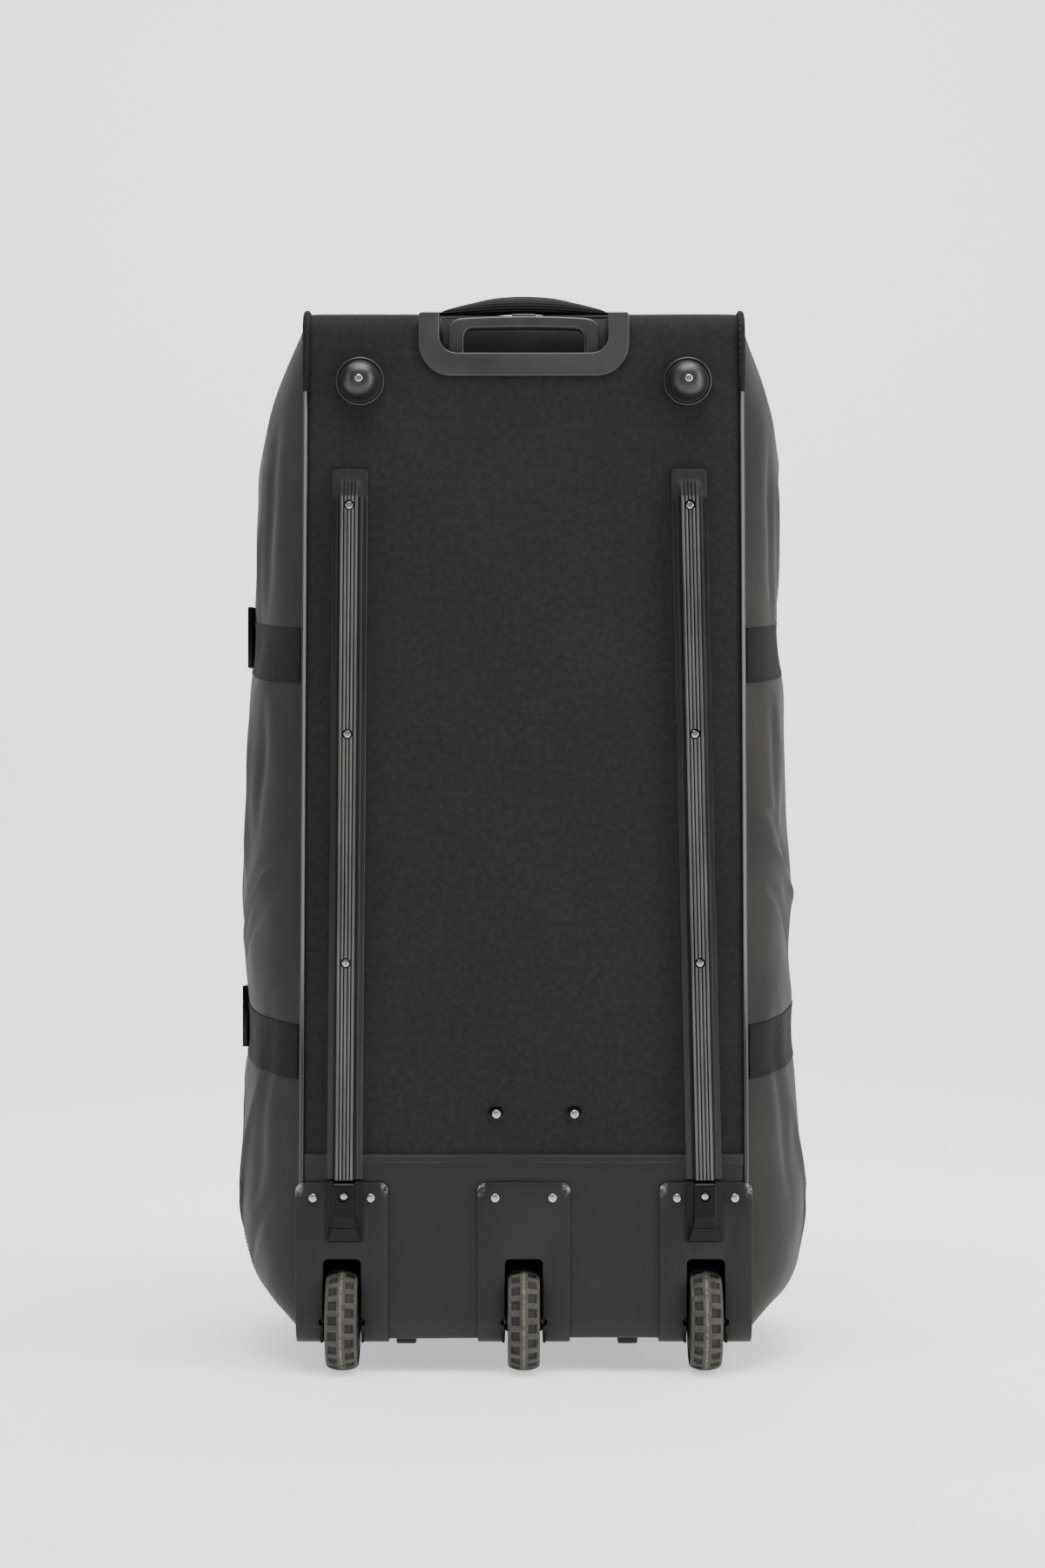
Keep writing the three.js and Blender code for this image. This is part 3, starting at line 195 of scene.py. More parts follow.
def carve(piece, *cutters):
    for cutter in cutters:
        modify(piece, "BOOLEAN", operation="DIFFERENCE", solver="EXACT", object=cutter)
        bpy.data.objects.remove(cutter)
    return piece


def cutAcross(piece, places, normal):
    edit(piece)
    for place in places:
        bpy.ops.mesh.select_all(action="SELECT")
        bpy.ops.mesh.bisect(plane_co=place, plane_no=normal)
    return done(piece)


def spots(piece):
    places = np.zeros(len(piece.data.vertices) * 3, np.float32)
    piece.data.vertices.foreach_get("co", places)
    return places.reshape(-1, 3).astype(float)


def move(piece, places):
    piece.data.vertices.foreach_set("co", np.asarray(places, np.float32).reshape(-1))
    piece.data.update()
    return piece


# A round piece pulled up from a disc: rows of radius and reach along its axis
def turned(name, rows, base, toward=(0, -1, 0), sides=48):
    toward = Vector(toward)
    base = Vector(base)
    bpy.ops.object.select_all(action="DESELECT")
    turn = Vector((0, 0, 1)).rotation_difference(toward).to_euler()
    bpy.ops.mesh.primitive_circle_add(vertices=sides, radius=rows[0][0], fill_type="NGON", rotation=turn,
                                      location=base + toward * rows[0][1])
    piece = bpy.context.object
    piece.name = name
    settle(piece)
    edit(piece)
    for (radius, reach), (nextRadius, nextReach) in zip(rows, rows[1:]):
        bpy.ops.mesh.extrude_region_move(TRANSFORM_OT_translate={"value": toward * (nextReach - reach)})
        sizes = [1 if abs(part) > 0.5 else nextRadius / radius for part in toward]
        bpy.ops.transform.resize(value=sizes, center_override=base + toward * nextReach)
    done(piece)
    return closeUp(piece, 1e-6)


# A sheet of faces through rows and columns of points, with its own UVs in metres
def gridPiece(name, places):
    rows, columns = places.shape[:2]
    bpy.ops.object.select_all(action="DESELECT")
    bpy.ops.mesh.primitive_grid_add(x_subdivisions=columns - 1, y_subdivisions=rows - 1, size=1)
    piece = bpy.context.object
    piece.name = name
    move(piece, places)
    across = np.zeros((rows, columns))
    up = np.zeros((rows, columns))
    across[:, 1:] = np.cumsum(np.linalg.norm(np.diff(places, axis=1), axis=2), axis=1)
    across -= across[:, columns // 2][:, None]
    up[1:] = np.cumsum(np.linalg.norm(np.diff(places, axis=0), axis=2), axis=0)
    flat = np.stack([across.reshape(-1), up.reshape(-1)], axis=1)
    corners = np.zeros(len(piece.data.loops), np.int32)
    piece.data.loops.foreach_get("vertex_index", corners)
    piece.data.uv_layers[0].data.foreach_set("uv", flat[corners].reshape(-1).astype(np.float32))
    return piece


# A body through rings of points, its ends filled unless it runs round on itself
def loft(name, rings, cyclic=False):
    rings = np.asarray(rings, float)
    rings = np.concatenate([rings, rings[:, :1]], axis=1)
    if cyclic:
        rings = np.concatenate([rings, rings[:1]])
    piece = gridPiece(name, rings)
    edit(piece)
    bpy.ops.mesh.remove_doubles(threshold=1e-6)
    if not cyclic:
        bpy.ops.mesh.select_mode(type="EDGE")
        bpy.ops.mesh.select_all(action="DESELECT")
        bpy.ops.mesh.select_non_manifold()
        bpy.ops.mesh.fill_holes(sides=0)
    bpy.ops.mesh.select_all(action="SELECT")
    bpy.ops.mesh.normals_make_consistent(inside=False)
    return done(piece)


# One small piece copied along a line: it is modelled along +X with +Z away from the surface
def strewn(name, model, line, outward, pitch, start=None):
    line, outward = np.asarray(line, float), np.asarray(outward, float)
    run = np.concatenate([[0], np.cumsum(np.linalg.norm(np.diff(line, axis=0), axis=1))])
    spot = spots(model)
    faces = [tuple(face.vertices) for face in model.data.polygons]
    points, allFaces = [], []

    def follow(rows, share):
        return np.array([np.interp(share, run, rows[:, k]) for k in range(3)])

    for middle in np.arange(pitch / 2 if start is None else start, run[-1], pitch):
        forward = follow(line, min(middle + pitch / 4, run[-1])) - follow(line, max(middle - pitch / 4, 0))
        forward /= np.linalg.norm(forward)
        side = np.cross(follow(outward, middle), forward)
        side /= np.linalg.norm(side)
        out = np.cross(forward, side)
        first = len(points) * len(spot)
        points.append(follow(line, middle) + spot @ np.stack([forward, side, out]))
        allFaces.extend(tuple(first + k for k in face) for face in faces)
    mesh = bpy.data.meshes.new(name)
    mesh.from_pydata(np.concatenate(points).tolist(), [], allFaces)
    piece = bpy.data.objects.new(name, mesh)
    bpy.context.scene.collection.objects.link(piece)
    return piece


def treeOf(*pieces):
    points, faces = [], []
    for piece in pieces:
        first = len(points)
        points.extend(vert.co.copy() for vert in piece.data.vertices)
        faces.extend(tuple(first + k for k in face.vertices) for face in piece.data.polygons)
    return BVHTree.FromPolygons(points, faces)


# A finer copy of a CAD node, its edges bevelled
def refined(name, node, width, segments=2, shift=(0, 0, 0)):
    piece = bpy.data.objects.new(name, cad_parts[node].data.copy())
    bpy.context.scene.collection.objects.link(piece)
    closeUp(piece)
    edit(piece)
    bpy.ops.mesh.dissolve_limited(angle_limit=math.radians(2))
    done(piece)
    bevel(piece, width, segments)
    return move(piece, spots(piece) + np.array(shift))


# Shader maths: a socket that Python's operators work on
class Signal:
    def __init__(self, finish, socket):
        self.finish = finish
        self.socket = socket

    def maths(self, operation, *values):
        return self.finish.node("ShaderNodeMath", {"operation": operation}, dict(enumerate(values)))

    def __add__(self, other):
        return self.maths("ADD", self, other)

    def __radd__(self, other):
        return self.maths("ADD", other, self)

    def __sub__(self, other):
        return self.maths("SUBTRACT", self, other)

    def __rsub__(self, other):
        return self.maths("SUBTRACT", other, self)

    def __mul__(self, other):
        return self.maths("MULTIPLY", self, other)

    def __rmul__(self, other):
        return self.maths("MULTIPLY", other, self)

    def __pow__(self, other):
        return self.maths("POWER", self, other)

    def __abs__(self):
        return self.maths("ABSOLUTE", self)

    def sine(self):
        return self.maths("SINE", self)


class Finish:
    def __init__(self, name, **sockets):
        self.material = bpy.data.materials.new(name)
        self.material.use_nodes = True
        self.tree = self.material.node_tree
        self.shader = self.tree.nodes["Principled BSDF"]
        for key, value in sockets.items():
            self.shader.inputs[key.replace("_", " ")].default_value = value

    def node(self, kind, settings=None, values=None, out=0):
        made = self.tree.nodes.new(kind)
        for key, value in (settings or {}).items():
            setattr(made, key, value)
        for key, value in (values or {}).items():
            socket = made.inputs[key]
            if isinstance(value, Signal):
                self.tree.links.new(value.socket, socket)
            elif socket.type == "RGBA" and len(value) == 3:
                socket.default_value = (*value, 1)
            else:
                socket.default_value = value
        return Signal(self, made.outputs[out])

    def place(self, kind="Object", scale=(1, 1, 1)):
        spot = self.node("ShaderNodeTexCoord", out=kind)
        return self.node("ShaderNodeMapping", {}, {"Vector": spot, "Scale": scale})

    def axis(self, vector, name):
        return self.node("ShaderNodeSeparateXYZ", {}, {"Vector": vector}, out=name)

    def noise(self, vector, scale, detail=3.0, rough=0.55):
        return self.node("ShaderNodeTexNoise", {}, {"Vector": vector, "Scale": scale, "Detail": detail,
                                                   "Roughness": rough})

    def ease(self, value, low, high, toLow=0.0, toHigh=1.0):
        return self.node("ShaderNodeMapRange", {"interpolation_type": "SMOOTHSTEP"},
                         {"Value": value, "From Min": low, "From Max": high,
                          "To Min": toLow, "To Max": toHigh})

    def mix(self, mask, first, second):
        return self.node("ShaderNodeMix", {"data_type": "RGBA"}, {0: mask, 6: first, 7: second}, out=2)

    def feed(self, name, value):
        self.tree.links.new(value.socket, self.shader.inputs[name])

    def bump(self, height, distance, under=None):
        values = {"Height": height, "Distance": distance, "Strength": 1.0}
        if under:
            values["Normal"] = under
        return self.node("ShaderNodeBump", {}, values)


def times(colour, factor):
    return tuple(value * factor for value in colour)


# The dark and the light tone of each finish
tones = {
    "cloth": ((0.0090, 0.0087, 0.0093), (0.0188, 0.0173, 0.0160)),
    "end": ((0.0085, 0.0085, 0.0092), (0.0165, 0.0158, 0.0150)),
    "guard": ((0.0108, 0.0108, 0.0110), (0.0148, 0.0145, 0.0142)),
    "tarpaulin": ((0.0170, 0.0166, 0.0160), (0.0275, 0.0262, 0.0247)),
    "strap": ((0.0022, 0.0022, 0.0023), (0.0080, 0.0076, 0.0072)),
    "pad": ((0.0050, 0.0050, 0.0052), (0.0140, 0.0138, 0.0136)),
    "tape": ((0.0060, 0.0060, 0.0062), (0.0160, 0.0155, 0.0150)),
    "plate": ((0.0084, 0.0083, 0.0081), (0.0138, 0.0133, 0.0125)),
    "gloss": ((0.0015, 0.0015, 0.0015), (0.0030, 0.0030, 0.0030)),
    "foot": ((0.0070, 0.0070, 0.0070), (0.0125, 0.0121, 0.0117)),
    "grip": ((0.0240, 0.0242, 0.0246), (0.0350, 0.0348, 0.0348)),
    # cup: the surround's plastic made darker, painted shade in the handle's recess
    "cup": ((0.0120, 0.0120, 0.0120), (0.0180, 0.0178, 0.0174)),
    "well": ((0.0020, 0.0020, 0.0020), (0.0045, 0.0045, 0.0043)),
    "thread": ((0.030, 0.029, 0.027), (0.060, 0.058, 0.055)),
    # ridge: the pale tones of the painted highlight on the rails' ridge tops
    "ridge": ((0.034, 0.034, 0.035), (0.090, 0.088, 0.085)),
    # piping: black vinyl, and the pale tone of its painted highlight stripe
    "piping": ((0.006, 0.006, 0.0066), (0.135, 0.140, 0.148)),
    "tread": ((0.012, 0.0115, 0.0107), (0.074, 0.069, 0.061)),
}
# Wear colours, the rails' side tone, and one painted shade
wearAndPaintedShade = {
    "chip": (0.30, 0.29, 0.28),
    "railSide": (0.0080, 0.0080, 0.0083),
    # railSlope: painted shade on the rails' sloping top end
    "railSlope": (0.002, 0.002, 0.002),
    "treadDust": (0.20, 0.172, 0.135),
}
pipingRadius = 0.0024
railSlope = 0.0260


# Woven cloth: fine crossed threads, mottled warm and cool, a little dust
def wovenCloth(name, dark, light, pitch=0.0011, flecks=0.35):
    finish = Finish(name, Specular_IOR_Level=0.15)
    spot = finish.place("UV")
    threads = [(finish.axis(spot, way) * (2 * math.pi / pitch)).sine() for way in ("X", "Y")]
    broad = finish.ease(finish.noise(spot, 6, 3, 0.6), 0.35, 0.68)
    patches = finish.ease(finish.noise(spot, 170, 4, 0.75), 0.34, 0.68)
    grain = finish.noise(spot, 900, 2, 0.6)
    tone = finish.mix(patches * 0.75 + broad * 0.25, dark, light)
    fleck = finish.ease(grain, 0.42, 0.75) * flecks
    finish.feed("Base Color", finish.mix(fleck, tone, times(light, 2.0)))
    finish.feed("Roughness", finish.ease(grain, 0.3, 0.7, 0.78, 0.95))
    fine = finish.bump(threads[0] * threads[1] * 0.5 + grain * 0.7, 0.00022)
    finish.feed("Normal", finish.bump(finish.noise(spot, 26, 3, 0.5), 0.0016, fine))
    return finish


# Coated cloth: tarpaulin on the sides and the smooth guard over the base's end
def coatedCloth(name, dark, light, rough, dust, gloss, pitch=0.0016):
    finish = Finish(name, Specular_IOR_Level=gloss)
    spot = finish.place("UV")
    broad = finish.ease(finish.noise(spot, 7, 3, 0.55), 0.3, 0.7)
    smudge = finish.ease(finish.noise(finish.place("UV", (1, 0.3, 1)), 18, 5, 0.6), 0.48, 0.78)
    grain = finish.noise(spot, 1400, 2, 0.5)
    net = [(finish.axis(spot, way) * (2 * math.pi / pitch)).sine() for way in ("X", "Y")]
    tone = finish.mix(smudge * dust, finish.mix(broad, dark, light), times(light, 2.4))
    finish.feed("Base Color", finish.mix(finish.ease(grain, 0.5, 0.8) * 0.25, tone, light))
    finish.feed("Roughness", finish.ease(broad * 0.5 + smudge * 0.5, 0.1, 0.9, *rough))
    fine = finish.bump(grain * 0.8 + (net[0] + net[1]) * 0.12, 0.00012)
    finish.feed("Normal", finish.bump(finish.noise(spot, 14, 3, 0.45), 0.0022, fine))
    return finish


# Webbing: slanted ribs across the strap and fine threads along it
def webbingCloth(name, dark, light, pitch=0.0019, slant=0.35, threadPitch=0.0012):
    finish = Finish(name, Specular_IOR_Level=0.15)
    spot = finish.place("UV")
    across = finish.axis(spot, "Y")
    ribs = ((finish.axis(spot, "X") + across * slant) * (2 * math.pi / pitch)).sine()
    threads = (across * (2 * math.pi / threadPitch)).sine()
    grain = finish.noise(spot, 700, 2, 0.5)
    finish.feed("Base Color", finish.mix(finish.ease(ribs + grain * 0.8, -0.8, 1.4), dark, light))
    finish.feed("Roughness", finish.ease(grain, 0.3, 0.7, 0.6, 0.85))
    finish.feed("Normal", finish.bump(ribs * 0.7 + threads * 0.25 + grain * 0.3, 0.00045))
    return finish


# Moulded plastic: fine grain, upright scuffs, and worn corners where asked
def mouldedPlastic(name, dark, light, rough=(0.38, 0.55), scuffs=0.3, chips=0.0, gloss=0.35):
    finish = Finish(name, Specular_IOR_Level=gloss)
    spot = finish.place()
    broad = finish.ease(finish.noise(spot, 12, 4, 0.6), 0.3, 0.7)
    grain = finish.noise(spot, 1400, 2, 0.6)
    streaks = finish.noise(finish.place("Object", (1, 1, 0.08)), 160, 4, 0.7)
    scuffed = finish.ease(streaks, 0.62, 0.8) * scuffs
    tone = finish.mix(scuffed, finish.mix(broad, dark, light), times(light, 3.0))
    if chips:
        inBox = finish.place("Generated")
        edge = finish.ease(abs(finish.axis(inBox, "X") - 0.5), 0.40, 0.49)
        high = finish.ease(finish.axis(inBox, "Z"), 0.90, 0.985)
        broken = finish.ease(finish.noise(spot, 240, 4, 0.7), 0.42, 0.6)
        tone = finish.mix(edge * high * broken * chips, tone, wearAndPaintedShade["chip"])
    finish.feed("Base Color", tone)
    finish.feed("Roughness", finish.ease(broad * 0.5 + grain * 0.5, 0.25, 0.75, *rough))
    finish.feed("Normal", finish.bump(grain, 0.00012))
    return finish


# Rail plastic: dark, with a painted highlight along its ridge tops streaked with real scuffs, and painted shade
# on its sloping top end
def railPlastic(name, top, slopeFrom):
    finish = Finish(name, Specular_IOR_Level=0.45)
    spot = finish.place()
    # crest: the ridge tops nearest the front take the pale tone, a painted highlight streaked with scuffs
    crest = finish.ease(finish.axis(spot, "Y"), top + 0.0010, top + 0.0003)
    streaks = finish.ease(finish.noise(finish.place("Object", (1, 1, 0.02)), 420, 3, 0.6), 0.36, 0.64)
    broad = finish.ease(finish.noise(spot, 10, 3, 0.6), 0.3, 0.7)
    paleTop = finish.mix(streaks * 0.6 + broad * 0.4, *tones["ridge"])
    # sloped: the sloping top end is painted near black, a painted shade
    sloped = finish.ease(finish.axis(spot, "Z"), slopeFrom - 0.002, slopeFrom + 0.002)
    tone = finish.mix(crest, wearAndPaintedShade["railSide"], paleTop)
    finish.feed("Base Color", finish.mix(sloped * 0.9, tone, wearAndPaintedShade["railSlope"]))
    finish.feed("Roughness", finish.ease(streaks * 0.5 + broad * 0.5, 0.2, 0.8, 0.26, 0.38) + sloped * 0.4)
    finish.feed("Normal", finish.bump(finish.noise(spot, 1400, 2, 0.6), 0.00012))
    return finish


# Piping vinyl: glossy, with a painted highlight stripe down its front over the upper two thirds
def pipingVinyl(name, radius):
    finish = Finish(name, Roughness=0.2)
    spot = finish.place("UV")
    front = abs(finish.axis(spot, "X") + radius * math.pi / 2)
    high = finish.ease(finish.axis(finish.place(), "Z"), 0.28, 0.40)
    grain = finish.noise(spot, 500, 3, 0.6)
    # the pale stripe down the front is a painted highlight
    highlightStripe = finish.ease(front + grain * 0.0005, 0.0017, 0.0010) * high
    finish.feed("Base Color", finish.mix(highlightStripe, *tones["piping"]))
    finish.feed("Normal", finish.bump(grain, 0.0001))
    return finish


# Metal: plated steel or anodised tube, faintly brushed
def metal(name, colour, rough):
    finish = Finish(name, Metallic=1.0, Base_Color=(*colour, 1))
    grain = finish.noise(finish.place(), 900, 3, 0.6)
    finish.feed("Roughness", finish.ease(grain, 0.3, 0.7, rough, rough + 0.12))
    finish.feed("Normal", finish.bump(grain, 0.00003))
    return finish


# Wheel rubber: grey and dusty, darker down in the pockets, tan dust round the middle
def wheelRubber(name, centre):
    finish = Finish(name, Specular_IOR_Level=0.2)
    spot = finish.place()
    inY = finish.axis(spot, "Y") - centre.y
    inZ = finish.axis(spot, "Z") - centre.z
    radius = (inY * inY + inZ * inZ) ** 0.5
    offset = abs(finish.axis(spot, "X") - centre.x)
    paleTop = finish.ease(radius + offset * 0.26, 0.0445, 0.0462)
    dust = finish.ease(finish.noise(spot, 130, 5, 0.7), 0.35, 0.7)
    band = finish.ease(offset, 0.0016, 0.0004) * finish.ease(finish.noise(spot, 320, 4, 0.7), 0.36, 0.6)
    tone = finish.mix(paleTop * (0.45 + dust * 0.55), *tones["tread"])
    finish.feed("Base Color", finish.mix(band * 0.7, tone, wearAndPaintedShade["treadDust"]))
    finish.feed("Roughness", finish.ease(dust, 0, 1, 0.62, 0.9))
    finish.feed("Normal", finish.bump(finish.noise(spot, 900, 3, 0.6), 0.0002))
    return finish


clothLook = wovenCloth("blackCloth", *tones["cloth"])
endLook = wovenCloth("endCloth", *tones["end"], flecks=0.25)
guardLook = coatedCloth("guardCloth", *tones["guard"], rough=(0.5, 0.66), dust=0.16, gloss=0.24)
sideLook = coatedCloth("sideTarpaulin", *tones["tarpaulin"], rough=(0.56, 0.70), dust=0.08, gloss=0.10)
strapLook = webbingCloth("strapWebbing", *tones["strap"])
padLook = webbingCloth("padWebbing", *tones["pad"], pitch=0.0026, slant=0.0)
tapeLook = webbingCloth("bindingTape", *tones["tape"], pitch=0.0012, slant=0.8)
plateLook = mouldedPlastic("platePlastic", *tones["plate"], chips=1.0, gloss=0.25)
railLook = railPlastic("railPlastic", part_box("rail_left")[0].y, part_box("rail_left")[1].z - railSlope)
glossLook = mouldedPlastic("glossPlastic", *tones["gloss"], rough=(0.12, 0.24), scuffs=0.03, gloss=0.16)
footLook = mouldedPlastic("footPlastic", *tones["foot"], rough=(0.36, 0.42), gloss=0.5)
gripLook = mouldedPlastic("gripPlastic", *tones["grip"], rough=(0.30, 0.40), scuffs=0.1, gloss=0.5)
# The cup is a darker copy of the surround's plastic: painted shade in the recess
cupShadedLook = mouldedPlastic("cupShadedPlastic", *tones["cup"], rough=(0.34, 0.46), scuffs=0.1, gloss=0.5)
wellLook = mouldedPlastic("wellPlastic", *tones["well"], rough=(0.5, 0.7), scuffs=0.1, gloss=0.2)
pipingLook = pipingVinyl("pipingVinyl", pipingRadius)
threadLook = mouldedPlastic("sewingThread", *tones["thread"], rough=(0.7, 0.9), scuffs=0.0, gloss=0.2)
steelLook = metal("rivetSteel", (0.40, 0.39, 0.375), 0.24)
tubeLook = metal("handleTube", (0.32, 0.32, 0.33), 0.25)
zipLook = metal("zipMetal", (0.22, 0.22, 0.23), 0.3)
floorLook = Finish("paleFloor", Base_Color=(0.86, 0.86, 0.86, 1), Roughness=0.9, Specular_IOR_Level=0.1,
                   Emission_Color=(1.0, 1.0, 1.0, 1), Emission_Strength=0.64)
print("finishes made")


def keep(piece, finish, nodes=(), body="bag", smooth=40):
    only(piece)
    bpy.ops.object.shade_smooth_by_angle(angle=math.radians(smooth))
    piece.data.materials.clear()
    piece.data.materials.append(finish.material)
    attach(piece, body)
    if nodes:
        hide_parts(*nodes)
    return piece


turn = np.linspace(0, math.pi / 2, 13)
profile = np.concatenate([[[studio["floorFront"], 0]],
                          np.stack([studio["floorBack"] + studio["wallCurve"] * np.sin(turn),
                                    studio["wallCurve"] * (1 - np.cos(turn))], axis=1),
                          [[studio["floorBack"] + studio["wallCurve"], studio["wallTop"]]]])
across = np.array([-studio["floorHalf"], studio["floorHalf"]])
floor = gridPiece("paleFloor", np.stack([across + 0 * profile[:, :1], profile[:, :1] + 0 * across,
                                         profile[:, 1:] + 0 * across], axis=2))
only(floor)
bpy.ops.object.shade_smooth()
floor.data.materials.append(floorLook.material)

# The bag's side view, from the frame: four rounded corners with straight runs between them
bag = {
    "face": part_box("base_panel")[0].y,
    "top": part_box("base_panel")[1].z,
    "bottom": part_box("bottom_end")[0].z,
    "depth": 0.350,
    "halfTop": 0.1975,
    "halfBottom": 0.2025,
    "baseCorner": 0.022,
    "lidTopCorner": 0.075,
    "lidBottomCorner": 0.050,
    "piping": pipingRadius,
    "wrap": 0.042,
    "lidCrown": 0.020,
    "endCrown": 0.010,
    "cloth": 0.0022,
    "underGuard": 0.012,
    "topSeam": 0.0006,
    "lidSeam": 0.0005,
    "bottomFrom": 0.094,
}
corners = {
    "baseBottom": (bag["baseCorner"], bag["bottom"] + bag["baseCorner"], bag["baseCorner"], 270),
    "baseTop": (bag["baseCorner"], bag["top"] - bag["baseCorner"], bag["baseCorner"], 180),
    "lidTop": (bag["depth"] - bag["lidTopCorner"], bag["top"] - bag["lidTopCorner"], bag["lidTopCorner"], 90),
    "lidBottom": (bag["depth"] - bag["lidBottomCorner"], bag["bottom"] + bag["lidBottomCorner"],
                  bag["lidBottomCorner"], 0),
}


def halfWidth(z):
    return np.interp(z, [bag["bottom"], bag["top"]], [bag["halfBottom"], bag["halfTop"]])


def arc(name, start=0.0, end=1.0, lift=0.0, steps=16):
    depth, z, radius, fromTurn = corners[name]
    turns = np.radians(fromTurn - 90 * np.linspace(start, end, steps + 1))
    return np.stack([depth + (radius + lift) * np.cos(turns), z + (radius + lift) * np.sin(turns)], axis=1)


def evenly(points, count):
    points = np.asarray(points, float)
    steps = np.linalg.norm(np.diff(points, axis=0), axis=1)
    points = points[np.concatenate([[True], steps > 1e-9])]
    run = np.concatenate([[0], np.cumsum(steps[steps > 1e-9])])
    share = np.linspace(0, run[-1], count)
    return np.stack([np.interp(share, run, points[:, k]) for k in range(points.shape[1])], axis=1)


# The way out of the bag along a route that climbs the base, crosses the top and comes down the lid
def outOf(route):
    ahead = np.gradient(route, axis=0)
    out = np.stack([-ahead[:, 1], ahead[:, 0]], axis=1)
    return out / np.linalg.norm(out, axis=1)[:, None]


def ripple(places, size, strength, seed):
    lift = [noise.noise(Vector(place) / size + Vector((seed, 0, 0))) for place in places.reshape(-1, 3)]
    return strength * np.array(lift).reshape(places.shape[:-1])


# A strip of the bag from piping to piping; its edges dip into the seams
def strip(name, route, columns, crown=0.0, lift=0.0, margin=0.0006, dip=0.0016, wave=0.0, seed=0.0, snap=()):
    out = outOf(route)
    share = np.sin(np.linspace(-math.pi / 2, math.pi / 2, columns))
    for place in snap:
        wanted = place / bag["halfTop"]
        share[np.argmin(np.abs(share - wanted))] = wanted
    swell = np.sqrt(np.clip(np.sin(np.pi * np.linspace(0, 1, len(route))), 0, 1))
    half = halfWidth(route[:, 1])[:, None]
    across = share[None] * (half - margin)
    edge = half - np.abs(across)
    rise = crown * (1 - share[None] ** 2) * swell[:, None] + lift - dip * np.exp(-(edge / 0.0032) ** 2)
    places = np.stack([across, bag["face"] + route[:, :1] + 0 * across, route[:, 1:] + 0 * across], axis=2)
    if wave:
        rise = rise + ripple(places, 0.11, wave, seed) * np.clip(edge / 0.02, 0, 1)
    places[:, :, 1] += out[:, :1] * rise
    places[:, :, 2] += out[:, 1:] * rise
    return gridPiece(name, places)


# The pull handle's recess, from its surround's box
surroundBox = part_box("handle_surround")
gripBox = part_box("pull_handle")
cupWall = 0.0024
recess = {
    "half": 0.0769,
    "wall": cupWall,
    "floor": surroundBox[0].z + cupWall,
    "back": surroundBox[1].y - cupWall,
    "windowFloor": 0.9250,
    "corner": 0.030,
    "windowCorner": 0.016,
    "plate": 0.0026,
    "plateDrop": 0.021,
    "plateEdge": 0.0011,
    "earCorner": 0.003,
    "cupEdge": 0.0006,
    "cupLowCorner": 0.010,
    "cupSideCorner": 0.012,
    "gap": 0.0004,
    "behindPlate": 0.012,
}
wheelBoxes = {side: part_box("wheel_" + side) for side in ("left", "middle", "right")}
wheelPlaces = {side: (low.x + high.x) / 2 for side, (low, high) in wheelBoxes.items()}
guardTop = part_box("guard_panel")[1].z

# The strips
baseRoute = evenly(np.concatenate([[[0, guardTop - bag["underGuard"]]], arc("baseTop"),
                                   [[bag["wrap"], bag["top"]]]]), 260)
notch = recess["half"] + recess["wall"] + recess["gap"]
basePanel = strip("basePanel", baseRoute, 120, wave=0.0007, seed=3.1, snap=(-notch, notch))
notchFloor = recess["windowFloor"] - recess["behindPlate"]


def inNotch(face):
    middle = face.calc_center_median()
    return abs(middle.x) < notch and middle.z > notchFloor


cutOut(basePanel, inNotch)
thicken(basePanel, bag["cloth"])
keep(basePanel, clothLook, ["base_panel"])

topRoute = evenly([[bag["wrap"] + bag["topSeam"], bag["top"]],
                   [bag["depth"] - bag["lidTopCorner"], bag["top"]]], 60)
topEnd = strip("topEnd", topRoute, 60, crown=bag["endCrown"], wave=0.0015, seed=7.7)
keep(thicken(topEnd, bag["cloth"]), endLook, ["top_end"])

lidRoute = evenly(np.concatenate([arc("lidTop"), arc("lidBottom")]), 220)
frontLid = strip("frontLid", lidRoute, 80, crown=bag["lidCrown"], wave=0.003, seed=1.4)
lidTree = treeOf(frontLid)
keep(thicken(frontLid, bag["cloth"]), clothLook, ["front_lid"])

bottomRoute = evenly([[bag["depth"] - bag["lidBottomCorner"] - bag["lidSeam"], bag["bottom"]],
                      [bag["bottomFrom"], bag["bottom"]]], 50)
bottomEnd = strip("bottomEnd", bottomRoute, 60, wave=0.0008, seed=4.4)
keep(thicken(bottomEnd, bag["cloth"]), endLook, ["bottom_end"])

guard = {
    "reach": 0.100,
    "lift": 0.0011,
    "wall": 0.0010,
    "slot": 0.0205,
    "slotTop": 0.107,
    "slotReach": 0.090,
    "hem": 0.0105,
    "hemRise": 0.0008,
    "hemWall": 0.0012,
    "stitchRows": (0.0019, 0.0075),
    "stitchHalf": 0.193,
    "stitchCount": 60,
}
guardSheet = {"margin": 0.0016, "wave": 0.0009, "seed": 9.2}
guardRoute = evenly(np.concatenate([[[guard["reach"], bag["bottom"]]], arc("baseBottom"),
                                    [[0, guardTop]]]), 150)
guardPanel = strip("guardPanel", guardRoute, 140, lift=guard["lift"], **guardSheet)


def inSlot(face):
    middle = face.calc_center_median()
    near = min(abs(middle.x - place) for place in wheelPlaces.values())
    return (near < guard["slot"] and middle.z < guard["slotTop"]
            and middle.y < bag["face"] + guard["slotReach"])


cutOut(guardPanel, inSlot)
thicken(guardPanel, guard["wall"])
hemRoute = np.stack([np.zeros(9), np.linspace(guardTop - guard["hem"], guardTop, 9)], axis=1)
guardHem = strip("guardHem", hemRoute, 140, lift=guard["lift"] + guard["hemRise"], **guardSheet)
bevel(thicken(guardHem, guard["hemWall"]), 0.0005)
guardPanel = joined("guardPanel", guardPanel, guardHem)
keep(guardPanel, guardLook, ["guard_panel"])

